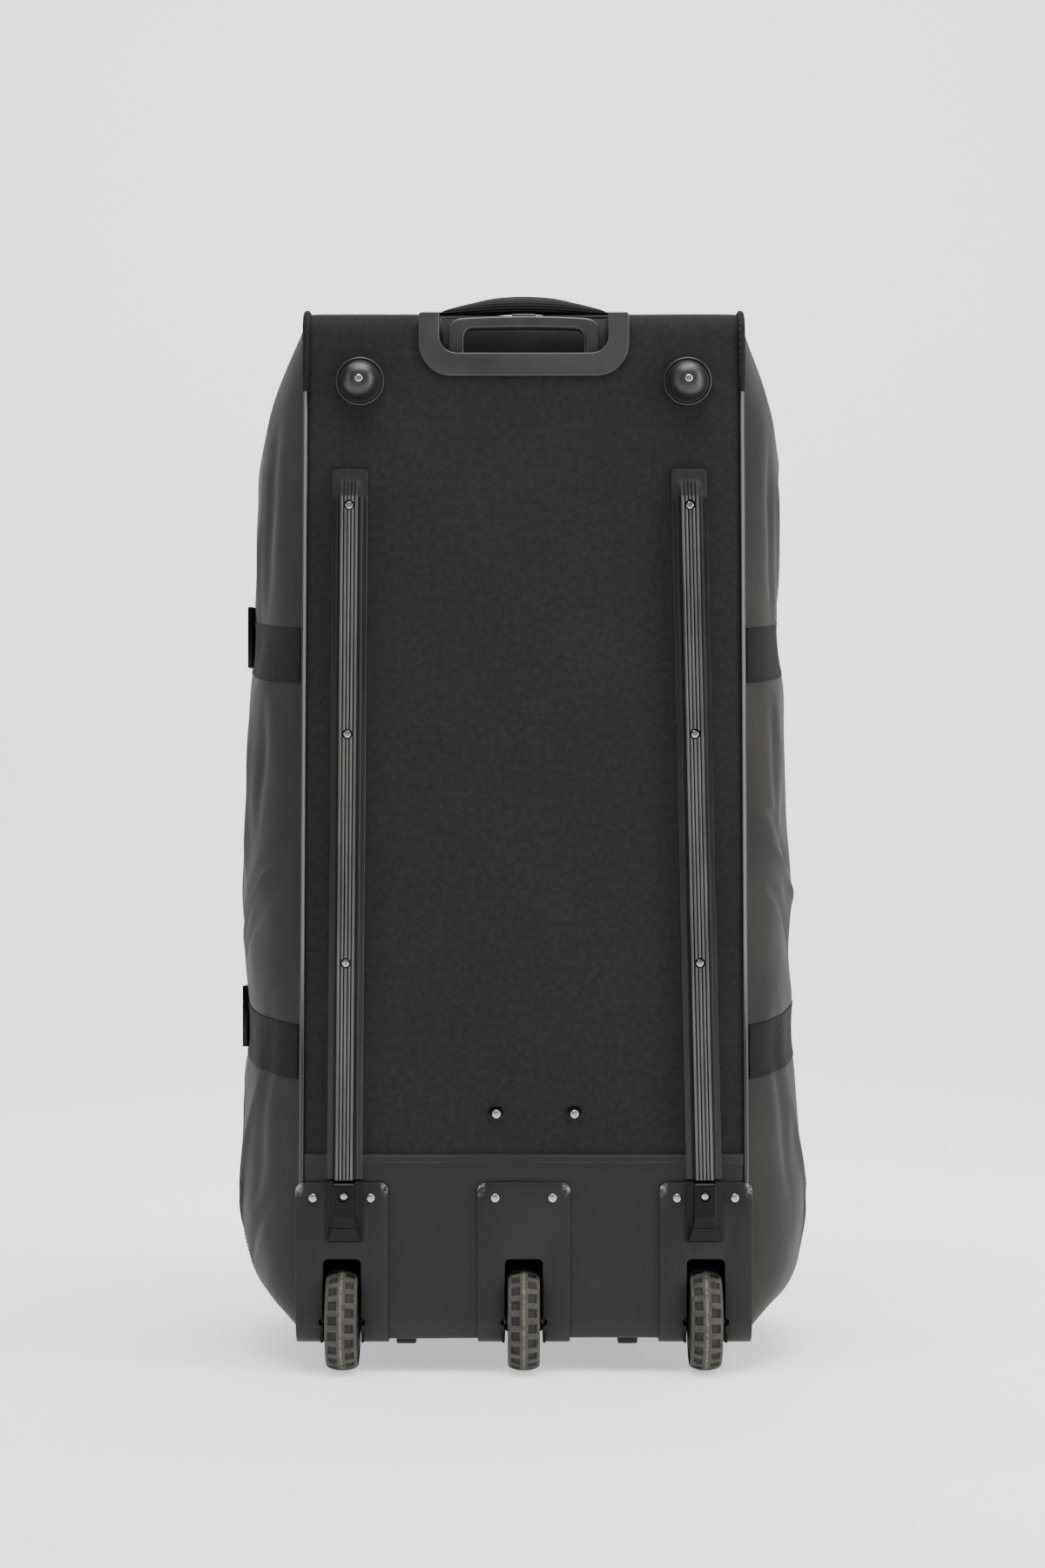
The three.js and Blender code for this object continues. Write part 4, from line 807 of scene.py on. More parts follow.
# A stitch, and lines of it along the guard's folded edge
stitch = block("stitch", (-0.0015, -0.00035, -0.0002), (0.0015, 0.00035, 0.0004))
bevel(stitch, 0.0002, 1)
stitchPitch = 0.0042
stitchLines = []
for drop in guard["stitchRows"]:
    count = guard["stitchCount"]
    span = np.linspace(-guard["stitchHalf"], guard["stitchHalf"], count)
    line = np.stack([span, np.full(count, bag["face"] - guard["lift"] - guard["hemRise"]),
                     np.full(count, guardTop - drop)], axis=1)
    stitchLines.append(strewn("guardStitches", stitch, line, np.tile([0, -1, 0], (count, 1)), stitchPitch))
guardStitches = joined("guardStitches", *stitchLines)
keep(guardStitches, threadLook)
print("strips made")

# The sides: one black cloth sheet each, and a grey tarpaulin layer on the base's half of it
sideForm = {
    "inset": 0.0032,
    "rows": 250,
    "columns": 110,
    "passes": 45,
    "wall": 0.0018,
    "layer": 0.0009,
    "layerWall": 0.0008,
    "layerColumns": 80,
    "strapPress": 0.0022,
    "strapReach": 0.026,
    "ripple": 0.0022,
    "rippleSize": 0.05,
    "fullReach": 0.03,
    "sewInset": 0.012,
}

# Creases: ends as depth and height, half width, and how far they stand out
creases = {
    -1: [
        {"from": (0.020, 0.475), "to": (0.150, 0.392), "width": 0.0060, "rise": -0.0042},
        {"from": (0.015, 0.440), "to": (0.130, 0.365), "width": 0.0050, "rise": -0.0034},
        {"from": (0.040, 0.455), "to": (0.140, 0.380), "width": 0.0050, "rise": 0.0026},
        {"from": (0.045, 0.860), "to": (0.060, 0.690), "width": 0.0120, "rise": -0.0036},
        {"from": (0.085, 0.820), "to": (0.100, 0.640), "width": 0.0110, "rise": 0.0034},
        {"from": (0.050, 0.610), "to": (0.065, 0.490), "width": 0.0100, "rise": -0.0030},
        {"from": (0.100, 0.590), "to": (0.110, 0.440), "width": 0.0120, "rise": 0.0030},
        {"from": (0.035, 0.340), "to": (0.055, 0.150), "width": 0.0100, "rise": -0.0032},
        {"from": (0.060, 0.255), "to": (0.130, 0.110), "width": 0.0060, "rise": 0.0030},
        {"from": (0.020, 0.160), "to": (0.090, 0.090), "width": 0.0070, "rise": -0.0030},
        {"from": (0.180, 0.560), "to": (0.300, 0.420), "width": 0.0120, "rise": -0.0040},
        {"from": (0.200, 0.830), "to": (0.280, 0.720), "width": 0.0140, "rise": -0.0040},
    ],
    1: [
        {"from": (0.020, 0.520), "to": (0.130, 0.455), "width": 0.0070, "rise": -0.0042},
        {"from": (0.030, 0.480), "to": (0.150, 0.420), "width": 0.0060, "rise": 0.0034},
        {"from": (0.020, 0.450), "to": (0.140, 0.375), "width": 0.0060, "rise": -0.0036},
        {"from": (0.050, 0.850), "to": (0.060, 0.690), "width": 0.0120, "rise": -0.0034},
        {"from": (0.090, 0.830), "to": (0.110, 0.700), "width": 0.0120, "rise": 0.0030},
        {"from": (0.045, 0.610), "to": (0.060, 0.500), "width": 0.0100, "rise": -0.0030},
        {"from": (0.040, 0.330), "to": (0.060, 0.160), "width": 0.0110, "rise": -0.0032},
        {"from": (0.080, 0.240), "to": (0.150, 0.110), "width": 0.0080, "rise": 0.0030},
        {"from": (0.180, 0.520), "to": (0.300, 0.600), "width": 0.0140, "rise": -0.0040},
        {"from": (0.200, 0.200), "to": (0.300, 0.130), "width": 0.0140, "rise": -0.0040},
    ],
}

# Where the tarpaulin ends, as a share of the way from the base to the lid
tarpEdge = {
    -1: [(0.03, 0.46), (0.06, 0.36), (0.16, 0.27), (0.25, 0.37), (0.29, 0.50), (0.60, 0.54), (0.96, 0.50)],
    1: [(0.03, 0.40), (0.10, 0.32), (0.22, 0.40), (0.28, 0.50), (0.66, 0.50), (0.70, 0.36), (0.75, 0.30),
        (0.82, 0.38), (0.86, 0.48), (0.96, 0.50)],
}
strapHeights = {"upper": 0.650, "lower": 0.290}
strapRise = 0.034


def sideOutline(rows, columns):
    inset = -sideForm["inset"]
    base = evenly(np.concatenate([arc("baseBottom", 0.5, 1, inset), arc("baseTop", 0, 0.5, inset)]), rows)
    lid = evenly(np.concatenate([arc("lidTop", 0.5, 1, inset), arc("lidBottom", 0, 0.5, inset)]), rows)[::-1]
    top = evenly(np.concatenate([arc("baseTop", 0.5, 1, inset), arc("lidTop", 0, 0.5, inset)]), columns)
    bottom = evenly(np.concatenate([arc("lidBottom", 0.5, 1, inset), arc("baseBottom", 0, 0.5, inset)]),
                    columns)[::-1]
    u = np.linspace(0, 1, columns)[None, :, None]
    v = np.linspace(0, 1, rows)[:, None, None]
    corner = ((1 - u) * (1 - v) * base[0] + u * (1 - v) * lid[0]
              + (1 - u) * v * base[-1] + u * v * lid[-1])
    return (1 - v) * bottom[None] + v * top[None] + (1 - u) * base[:, None] + u * lid[:, None] - corner


def creaseLift(flat, row):
    start, end = np.array(row["from"]), np.array(row["to"])
    run = end - start
    share = np.clip(((flat - start) @ run) / (run @ run), 0, 1)
    away = np.linalg.norm(flat - (start + share[..., None] * run), axis=-1)
    fade = np.sqrt(np.sin(np.pi * np.clip(share, 0.02, 0.98)))
    return row["rise"] * np.exp(-(away / row["width"]) ** 2) * fade


def sidePlaces(side, node):
    rows, columns = sideForm["rows"], sideForm["columns"]
    flat = sideOutline(rows, columns)
    tree = treeOf(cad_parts[node])
    out = np.zeros((rows, columns))
    for i in range(rows):
        for k in range(columns):
            depth, z = flat[i, k]
            hit = tree.ray_cast(Vector((side * 0.6, bag["face"] + depth, z)), Vector((-side, 0, 0)))[0]
            out[i, k] = abs(hit.x) if hit else halfWidth(z)
    rim = halfWidth(flat[..., 1])
    for edge in (0, -1):
        out[edge] = rim[edge]
        out[:, edge] = rim[:, edge]
    for _ in range(sideForm["passes"]):
        out[1:-1, 1:-1] = (out[1:-1, 1:-1] + out[:-2, 1:-1] + out[2:, 1:-1]
                           + out[1:-1, :-2] + out[1:-1, 2:]) / 5
    inward = np.clip((out - rim) / sideForm["fullReach"], 0, 1)
    for row in creases[side]:
        out += creaseLift(flat, row) * inward
    for height in strapHeights.values():
        middle = height + strapRise * flat[..., 0] / bag["depth"]
        out -= sideForm["strapPress"] * np.exp(-((flat[..., 1] - middle) / sideForm["strapReach"]) ** 4) * inward
    places = np.stack([side * out, bag["face"] + flat[..., 0], flat[..., 1]], axis=2)
    places[..., 0] += side * ripple(places, sideForm["rippleSize"], sideForm["ripple"], side * 5.0) * inward
    return places


# Rows of points on a sheet, at shares across its columns, lifted off it, and the way out at the last share
def onSheet(places, shares, lift, side):
    rows, columns = places.shape[:2]
    out = np.cross(np.gradient(places, axis=1), np.gradient(places, axis=0)) * side
    out /= np.linalg.norm(out, axis=2)[..., None]
    index = np.linspace(0, 1, columns)
    found = np.zeros((rows, shares.shape[1], 3))
    lastOut = np.zeros((rows, 3))
    for i in range(rows):
        for k in range(3):
            found[i, :, k] = np.interp(shares[i], index, places[i, :, k] + lift * out[i, :, k])
            lastOut[i, k] = np.interp(shares[i, -1], index, out[i, :, k])
    return found, lastOut


sideTrees = {}
for side, word in ((-1, "left"), (1, "right")):
    places = sidePlaces(side, "side_" + word)
    sheet = gridPiece("sideCloth_" + word, places[:, ::side])
    heights, shares = zip(*tarpEdge[side])
    edge = np.interp(places[:, 0, 2], heights, shares)
    spread = edge[:, None] * np.linspace(0, 1, sideForm["layerColumns"])[None]
    layerPlaces = onSheet(places, spread, sideForm["layer"], side)[0]
    layer = gridPiece("sideTarpaulin_" + word, layerPlaces[:, ::side])
    sideTrees[side] = treeOf(sheet, layer)
    seam, seamOut = onSheet(places, (edge - sideForm["sewInset"])[:, None],
                            sideForm["layer"] + 0.0001, side)
    sewing = strewn("sideStitches_" + word, stitch, seam[6:-6, 0], seamOut[6:-6], stitchPitch)
    thicken(sheet, sideForm["wall"])
    bevel(thicken(layer, sideForm["layerWall"]), 0.0003, 2)
    keep(sheet, clothLook, ["side_" + word], smooth=60)
    keep(layer, sideLook, smooth=60)
    keep(sewing, threadLook)
print("sides made")

# Piping round each side, and the binding tape over its two corners by the handle
piping = {
    "steps": 420,
    "sides": 14,
    "tapeFrom": 0.890,
    "tapeReach": 0.040,
    "tapeRadius": 0.0034,
    "tapeSteps": 70,
    "tapePitch": 0.0067,
    "tapeStart": 0.016,
    "tapeInset": 0.0012,
    "tapeTop": 0.0033,
}
wholeRoute = evenly(np.concatenate([arc(name) for name in ("baseBottom", "baseTop", "lidTop", "lidBottom")]
                                   + [arc("baseBottom")[:1]]), piping["steps"] + 1)[:-1]


def ringsAlong(route, side, radii, sides):
    turns = np.linspace(0, 2 * math.pi, sides, endpoint=False)
    rings = []
    for (depth, z), (outDepth, outZ), radius in zip(route, outOf(route), radii):
        x = side * halfWidth(z) + radius * np.cos(turns)
        lift = radius * np.sin(turns)
        rings.append(np.stack([x, bag["face"] + depth + outDepth * lift, z + outZ * lift], axis=1))
    return rings


for side, word in ((-1, "left"), (1, "right")):
    radii = np.full(len(wholeRoute), bag["piping"])
    keep(loft("piping_" + word + "_cord", ringsAlong(wholeRoute, side, radii, piping["sides"]), True),
         pipingLook, ["piping_" + word], smooth=60)
    tapeRoute = evenly(np.concatenate([[[0, piping["tapeFrom"]]], arc("baseTop"),
                                       [[piping["tapeReach"], bag["top"]]]]), piping["tapeSteps"])
    radii = piping["tapeRadius"] - 0.0007 * np.exp(-np.linspace(0, 12, piping["tapeSteps"]))
    keep(loft("cornerTape_" + word, ringsAlong(tapeRoute, side, radii, 16)), tapeLook, smooth=60)
    tapeOut = outOf(tapeRoute)
    line = np.stack([side * (halfWidth(tapeRoute[:, 1]) - piping["tapeInset"]),
                     bag["face"] + tapeRoute[:, 0] + tapeOut[:, 0] * piping["tapeTop"],
                     tapeRoute[:, 1] + tapeOut[:, 1] * piping["tapeTop"]], axis=1)
    facing = np.stack([np.zeros(piping["tapeSteps"]), tapeOut[:, 0], tapeOut[:, 1]], axis=1)
    sewing = strewn("tapeStitches_" + word, stitch, line, facing, piping["tapePitch"], piping["tapeStart"])
    keep(sewing, threadLook)
print("piping made")

# Wheel housings: a plate bent round the base's lower corner, with a window and a well behind it
housing = {
    "width": 0.084,
    "top": 0.173,
    "wall": 0.0028,
    "front": 0.0043,
    "corner": 0.008,
    "reach": 0.088,
    "window": 0.0172,
    "windowTop": 0.1034,
    "windowCorner": 0.0045,
    "windowEnd": 0.006,
    "notchHeight": 0.0463,
    "notch": 0.0036,
    "well": 0.0198,
    "wellTop": 0.1062,
    "wellWall": 0.0024,
    "wellCorner": 0.012,
    "wellGap": 0.0005,
    "wellDrop": 0.002,
    "wellBack": 0.001,
    "edge": 0.0007,
}
bendTop = bag["bottom"] + bag["baseCorner"]
bendRadius = bag["baseCorner"] + housing["front"]
bendLength = bendRadius * math.pi / 2
flatEnd = bendTop - bendLength - (housing["reach"] - bag["baseCorner"])
plateFace = bag["face"] - housing["front"]


def bendUnder(places):
    drop = np.clip(bendTop - places[:, 2], 0, None)
    turns = np.clip(drop, 0, bendLength) / bendRadius
    past = np.clip(drop - bendLength, 0, None)
    radius = bendRadius - (places[:, 1] - plateFace)
    low = drop > 0
    bent = places.copy()
    bent[low, 1] = (bag["face"] + bag["baseCorner"] - radius * np.cos(turns) + past)[low]
    bent[low, 2] = (bendTop - radius * np.sin(turns))[low]
    return bent


for word, place in wheelPlaces.items():
    half = housing["width"] / 2
    plate = block("housing_" + word, (place - half, plateFace, flatEnd),
                  (place + half, plateFace + housing["wall"], housing["top"]))
    roundEdges(plate, housing["corner"], along(1), 7)
    window = block("window", (place - housing["window"], plateFace - 0.01, flatEnd + housing["windowEnd"]),
                   (place + housing["window"], plateFace + 0.02, housing["windowTop"]))
    roundEdges(window, housing["windowCorner"], along(1), 5)
    notches = [turned("notch", [(housing["notch"], 0), (housing["notch"], 0.03)],
                      (place + end * housing["window"], plateFace + 0.02, housing["notchHeight"]), sides=20)
               for end in (-1, 1)]
    carve(plate, window, *notches)
    cutAcross(plate, [(0, 0, level) for level in bendTop - np.linspace(0, bendLength, 14)], (0, 0, 1))
    move(plate, bendUnder(spots(plate)))
    closeUp(plate)
    bevel(plate, housing["edge"], 3, 40)
    keep(plate, plateLook, ["wheel_housing_" + word])
    well = block("well_" + word, (place - housing["well"], bag["face"] + housing["wellGap"],
                                  bag["bottom"] - housing["wellDrop"]),
                 (place + housing["well"], bag["face"] + housing["reach"] - housing["wellBack"],
                  housing["wellTop"]))
    roundEdges(well, housing["wellCorner"],
               along(0, lambda middle: middle.y > bag["face"] + 0.04 and middle.z > bendTop))
    cutOut(well, lambda face: face.normal.y < -0.9 or face.normal.z < -0.9)
    thicken(well, housing["wellWall"])
    keep(well, wellLook)
print("housings made")

# Wheels: a turned disc, its rows of radius and reach, with two staggered rows of pockets in its tread
wheelForm = {
    "steps": 80,
    "pitch": 4,
    "rows": [(0.0092, 0.0), (0.0110, 0.0008), (0.0110, 0.0021), (0.0280, 0.0021), (0.0290, 0.0034),
             (0.0390, 0.0034), (0.0400, 0.0021), (0.0418, 0.0023), (0.0434, 0.0038), (0.0447, 0.0070),
             (0.0456, 0.0104), (0.0461, 0.0138), (0.0463, 0.0148)],
    "pocket": (0.0036, 0.0138),
    "least": 0.0415,
    "rim": 0.0006,
    "slope": 0.0009,
    "depth": 0.0020,
    "edge": 0.00035,
}


def pocketRule(low, centre, width):
    inner, outer = wheelForm["pocket"]

    def test(face):
        middle = face.calc_center_median()
        reach = middle.x - low.x
        turnShare = (math.atan2(middle.z - centre.z, middle.y - centre.y) / (2 * math.pi)) % 1
        step = round(turnShare * wheelForm["steps"] - 0.5) % wheelForm["pitch"]
        first = inner < reach < outer and step != 0
        second = inner < width - reach < outer and step != wheelForm["pitch"] // 2
        return (first or second) and (middle - centre).length > wheelForm["least"]

    return test


for word, (low, high) in wheelBoxes.items():
    centre = (low + high) / 2
    width = high.x - low.x
    rows = wheelForm["rows"] + [(radius, width - reach) for radius, reach in reversed(wheelForm["rows"])]
    wheel = turned("tyre_" + word, rows, (low.x, centre.y, centre.z), (1, 0, 0), wheelForm["steps"])
    edit(wheel, pocketRule(low, centre, width))
    bpy.ops.mesh.inset(thickness=wheelForm["rim"], depth=0)
    bpy.ops.mesh.inset(thickness=wheelForm["slope"], depth=-wheelForm["depth"])
    done(wheel)
    bevel(wheel, wheelForm["edge"], 2, 32)
    rubber = wheelRubber("wheelRubber_" + word, centre)
    keep(wheel, rubber, ["wheel_" + word], "wheel_" + word)
print("wheels made")


# Rivet heads: one turned head copied to each place
def headRows(radius, height):
    shares = [(0.98, -0.2), (1.0, 0.1), (0.97, 0.45), (0.8, 0.86), (0.45, 1.0), (0.28, 1.0), (0.2, 0.82),
              (0.05, 0.8)]
    return [(radius * across, height * up) for across, up in shares]


rivetRows = headRows(0.0041, 0.0020)
rivetHead = turned("rivetHead", rivetRows, (0, 0, 0), sides=32)
for node in [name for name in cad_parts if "rivet" in name and not name.startswith("center")]:
    low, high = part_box(node)
    head = bpy.data.objects.new(node + "_head", rivetHead.data.copy())
    bpy.context.scene.collection.objects.link(head)
    scale = (high.x - low.x) / (2 * rivetRows[1][0])
    seat = low.y - scale * spots(rivetHead)[:, 1].min()
    move(head, spots(head) * scale + np.array([(low.x + high.x) / 2, seat, (low.z + high.z) / 2]))
    keep(head, steelLook, [node])
bpy.data.objects.remove(rivetHead)
for word in ("left", "right"):
    low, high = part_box("center_rivet_" + word)
    x, z = (low.x + high.x) / 2, (low.z + high.z) / 2
    washer = turned("washer_" + word, [(0.0077, 0), (0.0077, 0.0008), (0.0072, 0.0012), (0.0045, 0.0012)],
                    (x, bag["face"] - 0.0003, z))
    keep(washer, glossLook)
    head = turned("center_rivet_" + word + "_head", rivetRows, (x, bag["face"] - 0.0014, z), sides=32)
    keep(head, steelLook, ["center_rivet_" + word])
print("rivets made")

# Skid rails: a flange and a rib with scalloped ridges, its top end sloping down to the flange
rail = {
    "bottom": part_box("rail_left")[0].z,
    "top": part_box("rail_left")[1].z,
    "seat": bag["face"] - 0.0003,
    "flange": 0.0162,
    "flangeWall": 0.0026,
    "ribBase": 0.0105,
    "ribTop": 0.00815,
    "height": 0.0130,
    "ridges": 5,
    "groove": 0.0017,
    "edge": 0.0014,
    "corner": 0.0050,
    "slopeStart": 0.0100,
    "slopeEnd": railSlope,
    "recess": 0.0047,
    "recessDepth": 0.0036,
    "recessRise": 0.0002,
}


def railRing(x, z, drop):
    wall = rail["flangeWall"]
    corner = max(rail["corner"] - drop, 0)
    half = rail["flange"] - (rail["corner"] - math.sqrt(rail["corner"] ** 2 - corner ** 2))
    slope = np.clip((drop - rail["slopeStart"]) / (rail["slopeEnd"] - rail["slopeStart"]), 0, 1)
    rise = (rail["height"] - wall) * slope
    base, top = min(rail["ribBase"], half - 0.001), min(rail["ribTop"], half - 0.002)
    across = np.linspace(-1, 1, 61) * (top - rail["edge"])
    scallop = np.abs(np.sin(np.pi * rail["ridges"] * (across / (2 * top) + 0.5))) ** 0.7
    grooves = rail["groove"] * (1 - scallop) * min(1, slope * 4)
    left = [(-half, 0.0), (-half, wall - 0.0007), (-half + 0.0007, wall), (-base - 0.0012, wall),
            (-base, wall + 0.1 * rise), (-top - 0.25 * (base - top), wall + 0.75 * rise),
            (-top, wall + max(rise - rail["edge"], 0.8 * rise)),
            (-top + 0.3 * rail["edge"], wall + max(rise - 0.3 * rail["edge"], 0.95 * rise))]
    crown = list(zip(across, wall + rise - grooves))
    right = [(-px, reach) for px, reach in reversed(left)]
    return np.array([(x + px, rail["seat"] - reach, z) for px, reach in left + crown + right])


for word in ("left", "right"):
    places = []
    for number in (1, 2, 3):
        low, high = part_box(f"rail_rivet_{word}_{number}")
        places.append(((low.x + high.x) / 2, (low.z + high.z) / 2))
    (firstX, firstZ), (lastX, lastZ) = places[0], places[-1]
    lean = (firstX - lastX) / (firstZ - lastZ)
    drops = np.concatenate([[0.0, 0.0004, 0.0010, 0.0020, 0.0034, 0.0050, 0.0080],
                            np.linspace(0.0100, 0.0258, 14), [0.0260, 0.0262],
                            np.linspace(0.034, rail["top"] - rail["bottom"], 70)])
    rings = [railRing(firstX + lean * (rail["top"] - drop - firstZ), rail["top"] - drop, drop)
             for drop in drops]
    body = loft("rail_" + word + "_ribbed", rings)
    floorY = rail["seat"] - rail["height"] + rail["recessDepth"]
    holes = [turned("recess", [(rail["recess"], 0), (rail["recess"], 0.01)],
                    (x, floorY, z + rail["recessRise"]), sides=26) for x, z in places]
    carve(body, *holes)
    keep(body, railLook, ["rail_" + word], smooth=35)
print("rails made")

# Caps: a raised band that steps down and flares out below, with a scooped end.
# Rows: share of the length, narrowing, flare and how high, of the cap's height
cap = {
    "half": 0.0172,
    "flange": 0.0024,
    "band": 0.00985,
    "flare": 0.0048,
    "narrow": 0.008,
    "edge": 0.0014,
    "front": 0.0046,
    "recess": 0.0052,
    "recessDepth": 0.0018,
    "rows": [(0.000, 0.15, 0.00, 0.30), (0.012, 0.00, 0.00, 0.80), (0.050, 0.00, 0.00, 1.00),
             (0.590, 0.00, 0.00, 1.00), (0.610, 0.00, 0.00, 0.97), (0.625, 0.00, 0.11, 0.88),
             (0.730, 0.00, 0.22, 0.86), (0.750, 0.00, 0.24, 0.80), (0.765, 0.00, 0.34, 0.64),
             (0.850, 0.00, 0.62, 0.53), (0.935, 0.00, 1.00, 0.46), (0.975, 0.00, 1.00, 0.38),
             (0.992, 0.10, 0.92, 0.22), (1.000, 0.15, 0.85, 0.10)],
}


def capRing(x, z, height, narrow, flare, high):
    half = cap["half"] - narrow * cap["narrow"]
    band = cap["band"] + flare * cap["flare"]
    top = cap["flange"] + (height - cap["flange"]) * high
    edge = min(cap["edge"], (top - cap["flange"]) * 0.6)
    shoulder = [(-(band - edge) - edge * math.cos(turn), top - edge + edge * math.sin(turn))
                for turn in np.linspace(0, math.pi / 2, 6)]
    left = [(-half, 0), (-half, cap["flange"] * 0.75), (-half + 0.0006, cap["flange"]),
            (-band - 0.0009, cap["flange"]),
            (-band, cap["flange"] + min(0.0008, (top - cap["flange"]) * 0.3))]
    left += shoulder
    right = [(-px, reach) for px, reach in reversed(left)]
    return np.array([(x + px, bag["face"] - cap["front"] - reach, z) for px, reach in left + right])


for word in ("left", "right"):
    low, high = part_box("rail_cap_" + word)
    table = np.array(cap["rows"])
    rings = []
    for share in np.unique(np.concatenate([table[:, 0], np.linspace(0, 1, 34)])):
        row = [np.interp(share, table[:, 0], table[:, k]) for k in (1, 2, 3)]
        rings.append(capRing((low.x + high.x) / 2, high.z - share * (high.z - low.z),
                             bag["face"] - cap["front"] - low.y, *row))
    body = loft("cap_" + word + "_glossy", rings)
    rivetLow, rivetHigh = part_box("cap_rivet_" + word)
    seat = ((rivetLow.x + rivetHigh.x) / 2, rivetLow.y + cap["recessDepth"], (rivetLow.z + rivetHigh.z) / 2)
    carve(body, turned("recess", [(cap["recess"], 0), (cap["recess"], 0.02)], seat, sides=28))
    keep(body, glossLook, ["rail_cap_" + word], smooth=50)

# Corner feet: a lip ring, a groove and a tall dome with a seat for its rivet
footRows = [(0.0223, 0.0), (0.0223, 0.0030), (0.0218, 0.0040), (0.0209, 0.0044), (0.0199, 0.0042),
            (0.0190, 0.0036), (0.0186, 0.0038), (0.0183, 0.0060), (0.0179, 0.0095), (0.0172, 0.0135),
            (0.0161, 0.0172), (0.0147, 0.0205), (0.0129, 0.0232), (0.0107, 0.0252), (0.0084, 0.0265),
            (0.0062, 0.0272), (0.0048, 0.0274), (0.0044, 0.0271), (0.0043, 0.0262)]
for word in ("left", "right"):
    low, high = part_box("corner_foot_" + word)
    foot = turned("cornerFoot_" + word, footRows,
                  ((low.x + high.x) / 2, bag["face"] - 0.0003, (low.z + high.z) / 2), sides=64)
    keep(foot, footLook, ["corner_foot_" + word], smooth=30)
print("caps and feet made")

# The handle's surround, its recess, and the grip
surroundFace = surroundBox[0].y
surround = block("surround", (surroundBox[0].x, surroundFace, recess["windowFloor"] - recess["plateDrop"]),
                 (surroundBox[1].x, surroundFace + recess["plate"], surroundBox[1].z))
roundEdges(surround, recess["corner"], along(1, lambda middle: middle.z < 0.93), 14)
roundEdges(surround, recess["earCorner"], along(1, lambda middle: middle.z > 0.95), 4)
opening = block("opening", (-recess["half"], surroundFace - 0.01, recess["windowFloor"]),
                (recess["half"], surroundFace + 0.02, surroundBox[1].z + 0.05))
roundEdges(opening, recess["windowCorner"], along(1, lambda middle: middle.z < 0.93), 10)
carve(surround, opening)
bevel(surround, recess["plateEdge"], 4, 40)
cup = block("cup", (-recess["half"] - recess["wall"], bag["face"] + 0.0003, recess["floor"] - recess["wall"]),
            (recess["half"] + recess["wall"], surroundBox[1].y, surroundBox[1].z - 0.0005))
hollow = block("hollow", (-recess["half"], bag["face"] - 0.02, recess["floor"]),
               (recess["half"], recess["back"], surroundBox[1].z + 0.05))
roundEdges(hollow, recess["cupLowCorner"],
           along(0, lambda middle: middle.y > bag["face"] and middle.z < 0.93), 8)
roundEdges(hollow, recess["cupSideCorner"], along(2, lambda middle: middle.y > bag["face"]), 8)
carve(cup, hollow)
bevel(cup, recess["cupEdge"], 2, 40)
keep(surround, gripLook, ["handle_surround"])
keep(cup, cupShadedLook)

grip = {
    "top": 0.960,
    "arch": 0.0026,
    "corner": 0.012,
    "foot": 0.006,
    "lowBar": 0.0125,
    "highBar": 0.0095,
    "hole": 0.055,
    "holeCorner": 0.008,
    "round": 0.0042,
    "cuts": 26,
    "button": (0.011, 0.006),
}
body = block("grip", gripBox[0], (gripBox[1].x, gripBox[1].y, grip["top"] - grip["arch"]))
roundEdges(body, grip["corner"], along(1, lambda middle: middle.z > 0.94), 8)
roundEdges(body, grip["foot"], along(1, lambda middle: middle.z < 0.93), 5)
fingers = block("fingers", (-grip["hole"], gripBox[0].y - 0.01, gripBox[0].z + grip["lowBar"]),
                (grip["hole"], gripBox[1].y + 0.01, grip["top"] - grip["arch"] - grip["highBar"]))
roundEdges(fingers, grip["holeCorner"], along(1), 7)
carve(body, fingers)
cutAcross(body, [(x, 0, 0) for x in np.linspace(-0.056, 0.056, grip["cuts"])], (1, 0, 0))
bevel(body, grip["round"], 5, 50)
places = spots(body)
share = np.clip((places[:, 2] - 0.940) / 0.012, 0, 1)
places[:, 2] += share * grip["arch"] * (1 - (places[:, 0] / gripBox[1].x) ** 2)
move(body, places)
gripMiddle = (gripBox[0].y + gripBox[1].y) / 2
button = block("button", (-grip["button"][0], gripMiddle - grip["button"][1], grip["top"] - 0.002),
               (grip["button"][0], gripMiddle + grip["button"][1], gripBox[1].z))
bevel(button, 0.0012, 3)
keep(joined("gripBody", body, button), gripLook, ["pull_handle"], "handle")
print("handle made")

# Straps: laid on the sides and the lid, with sliders and folded tails on the left
strap = {
    "half": 0.025,
    "rows": 9,
    "lift": 0.0012,
    "wall": 0.0016,
    "start": 0.005,
    "end": 0.343,
    "step": 0.004,
    "corner": 0.0042,
    "lidHalf": 0.192,
    "edge": 0.0005,
    "tailInset": 0.0025,
    "tailLift": 0.0040,
    "tailFrom": 0.161,
    "tailTo": 0.252,
    "tailWall": 0.0022,
    "tailCurl": 0.003,
    "sliderGap": 0.0004,
}


def strapHeight(height, depth):
    return height + strapRise * depth / bag["depth"]


def sideHit(side, depth, z, lift):
    start = Vector((side * 0.6, bag["face"] + depth, z))
    hit, normal = sideTrees[side].ray_cast(start, Vector((-side, 0, 0)))[:2]
    if hit is None:
        return np.array([side * (halfWidth(z) + 0.003), bag["face"] + depth, z])
    normal = normal if normal.x * side > 0 else -normal
    return np.array(hit + normal * lift)


def lidHit(x, z, lift):
    hit = lidTree.ray_cast(Vector((x, 0.6, z)), Vector((0, -1, 0)))[0]
    return np.array([x, hit.y + lift, z])


def smoothed(places, passes):
    for _ in range(passes):
        places[:, 1:-1] = (places[:, 1:-1] * 2 + places[:, :-2] + places[:, 2:]) / 4
    return places


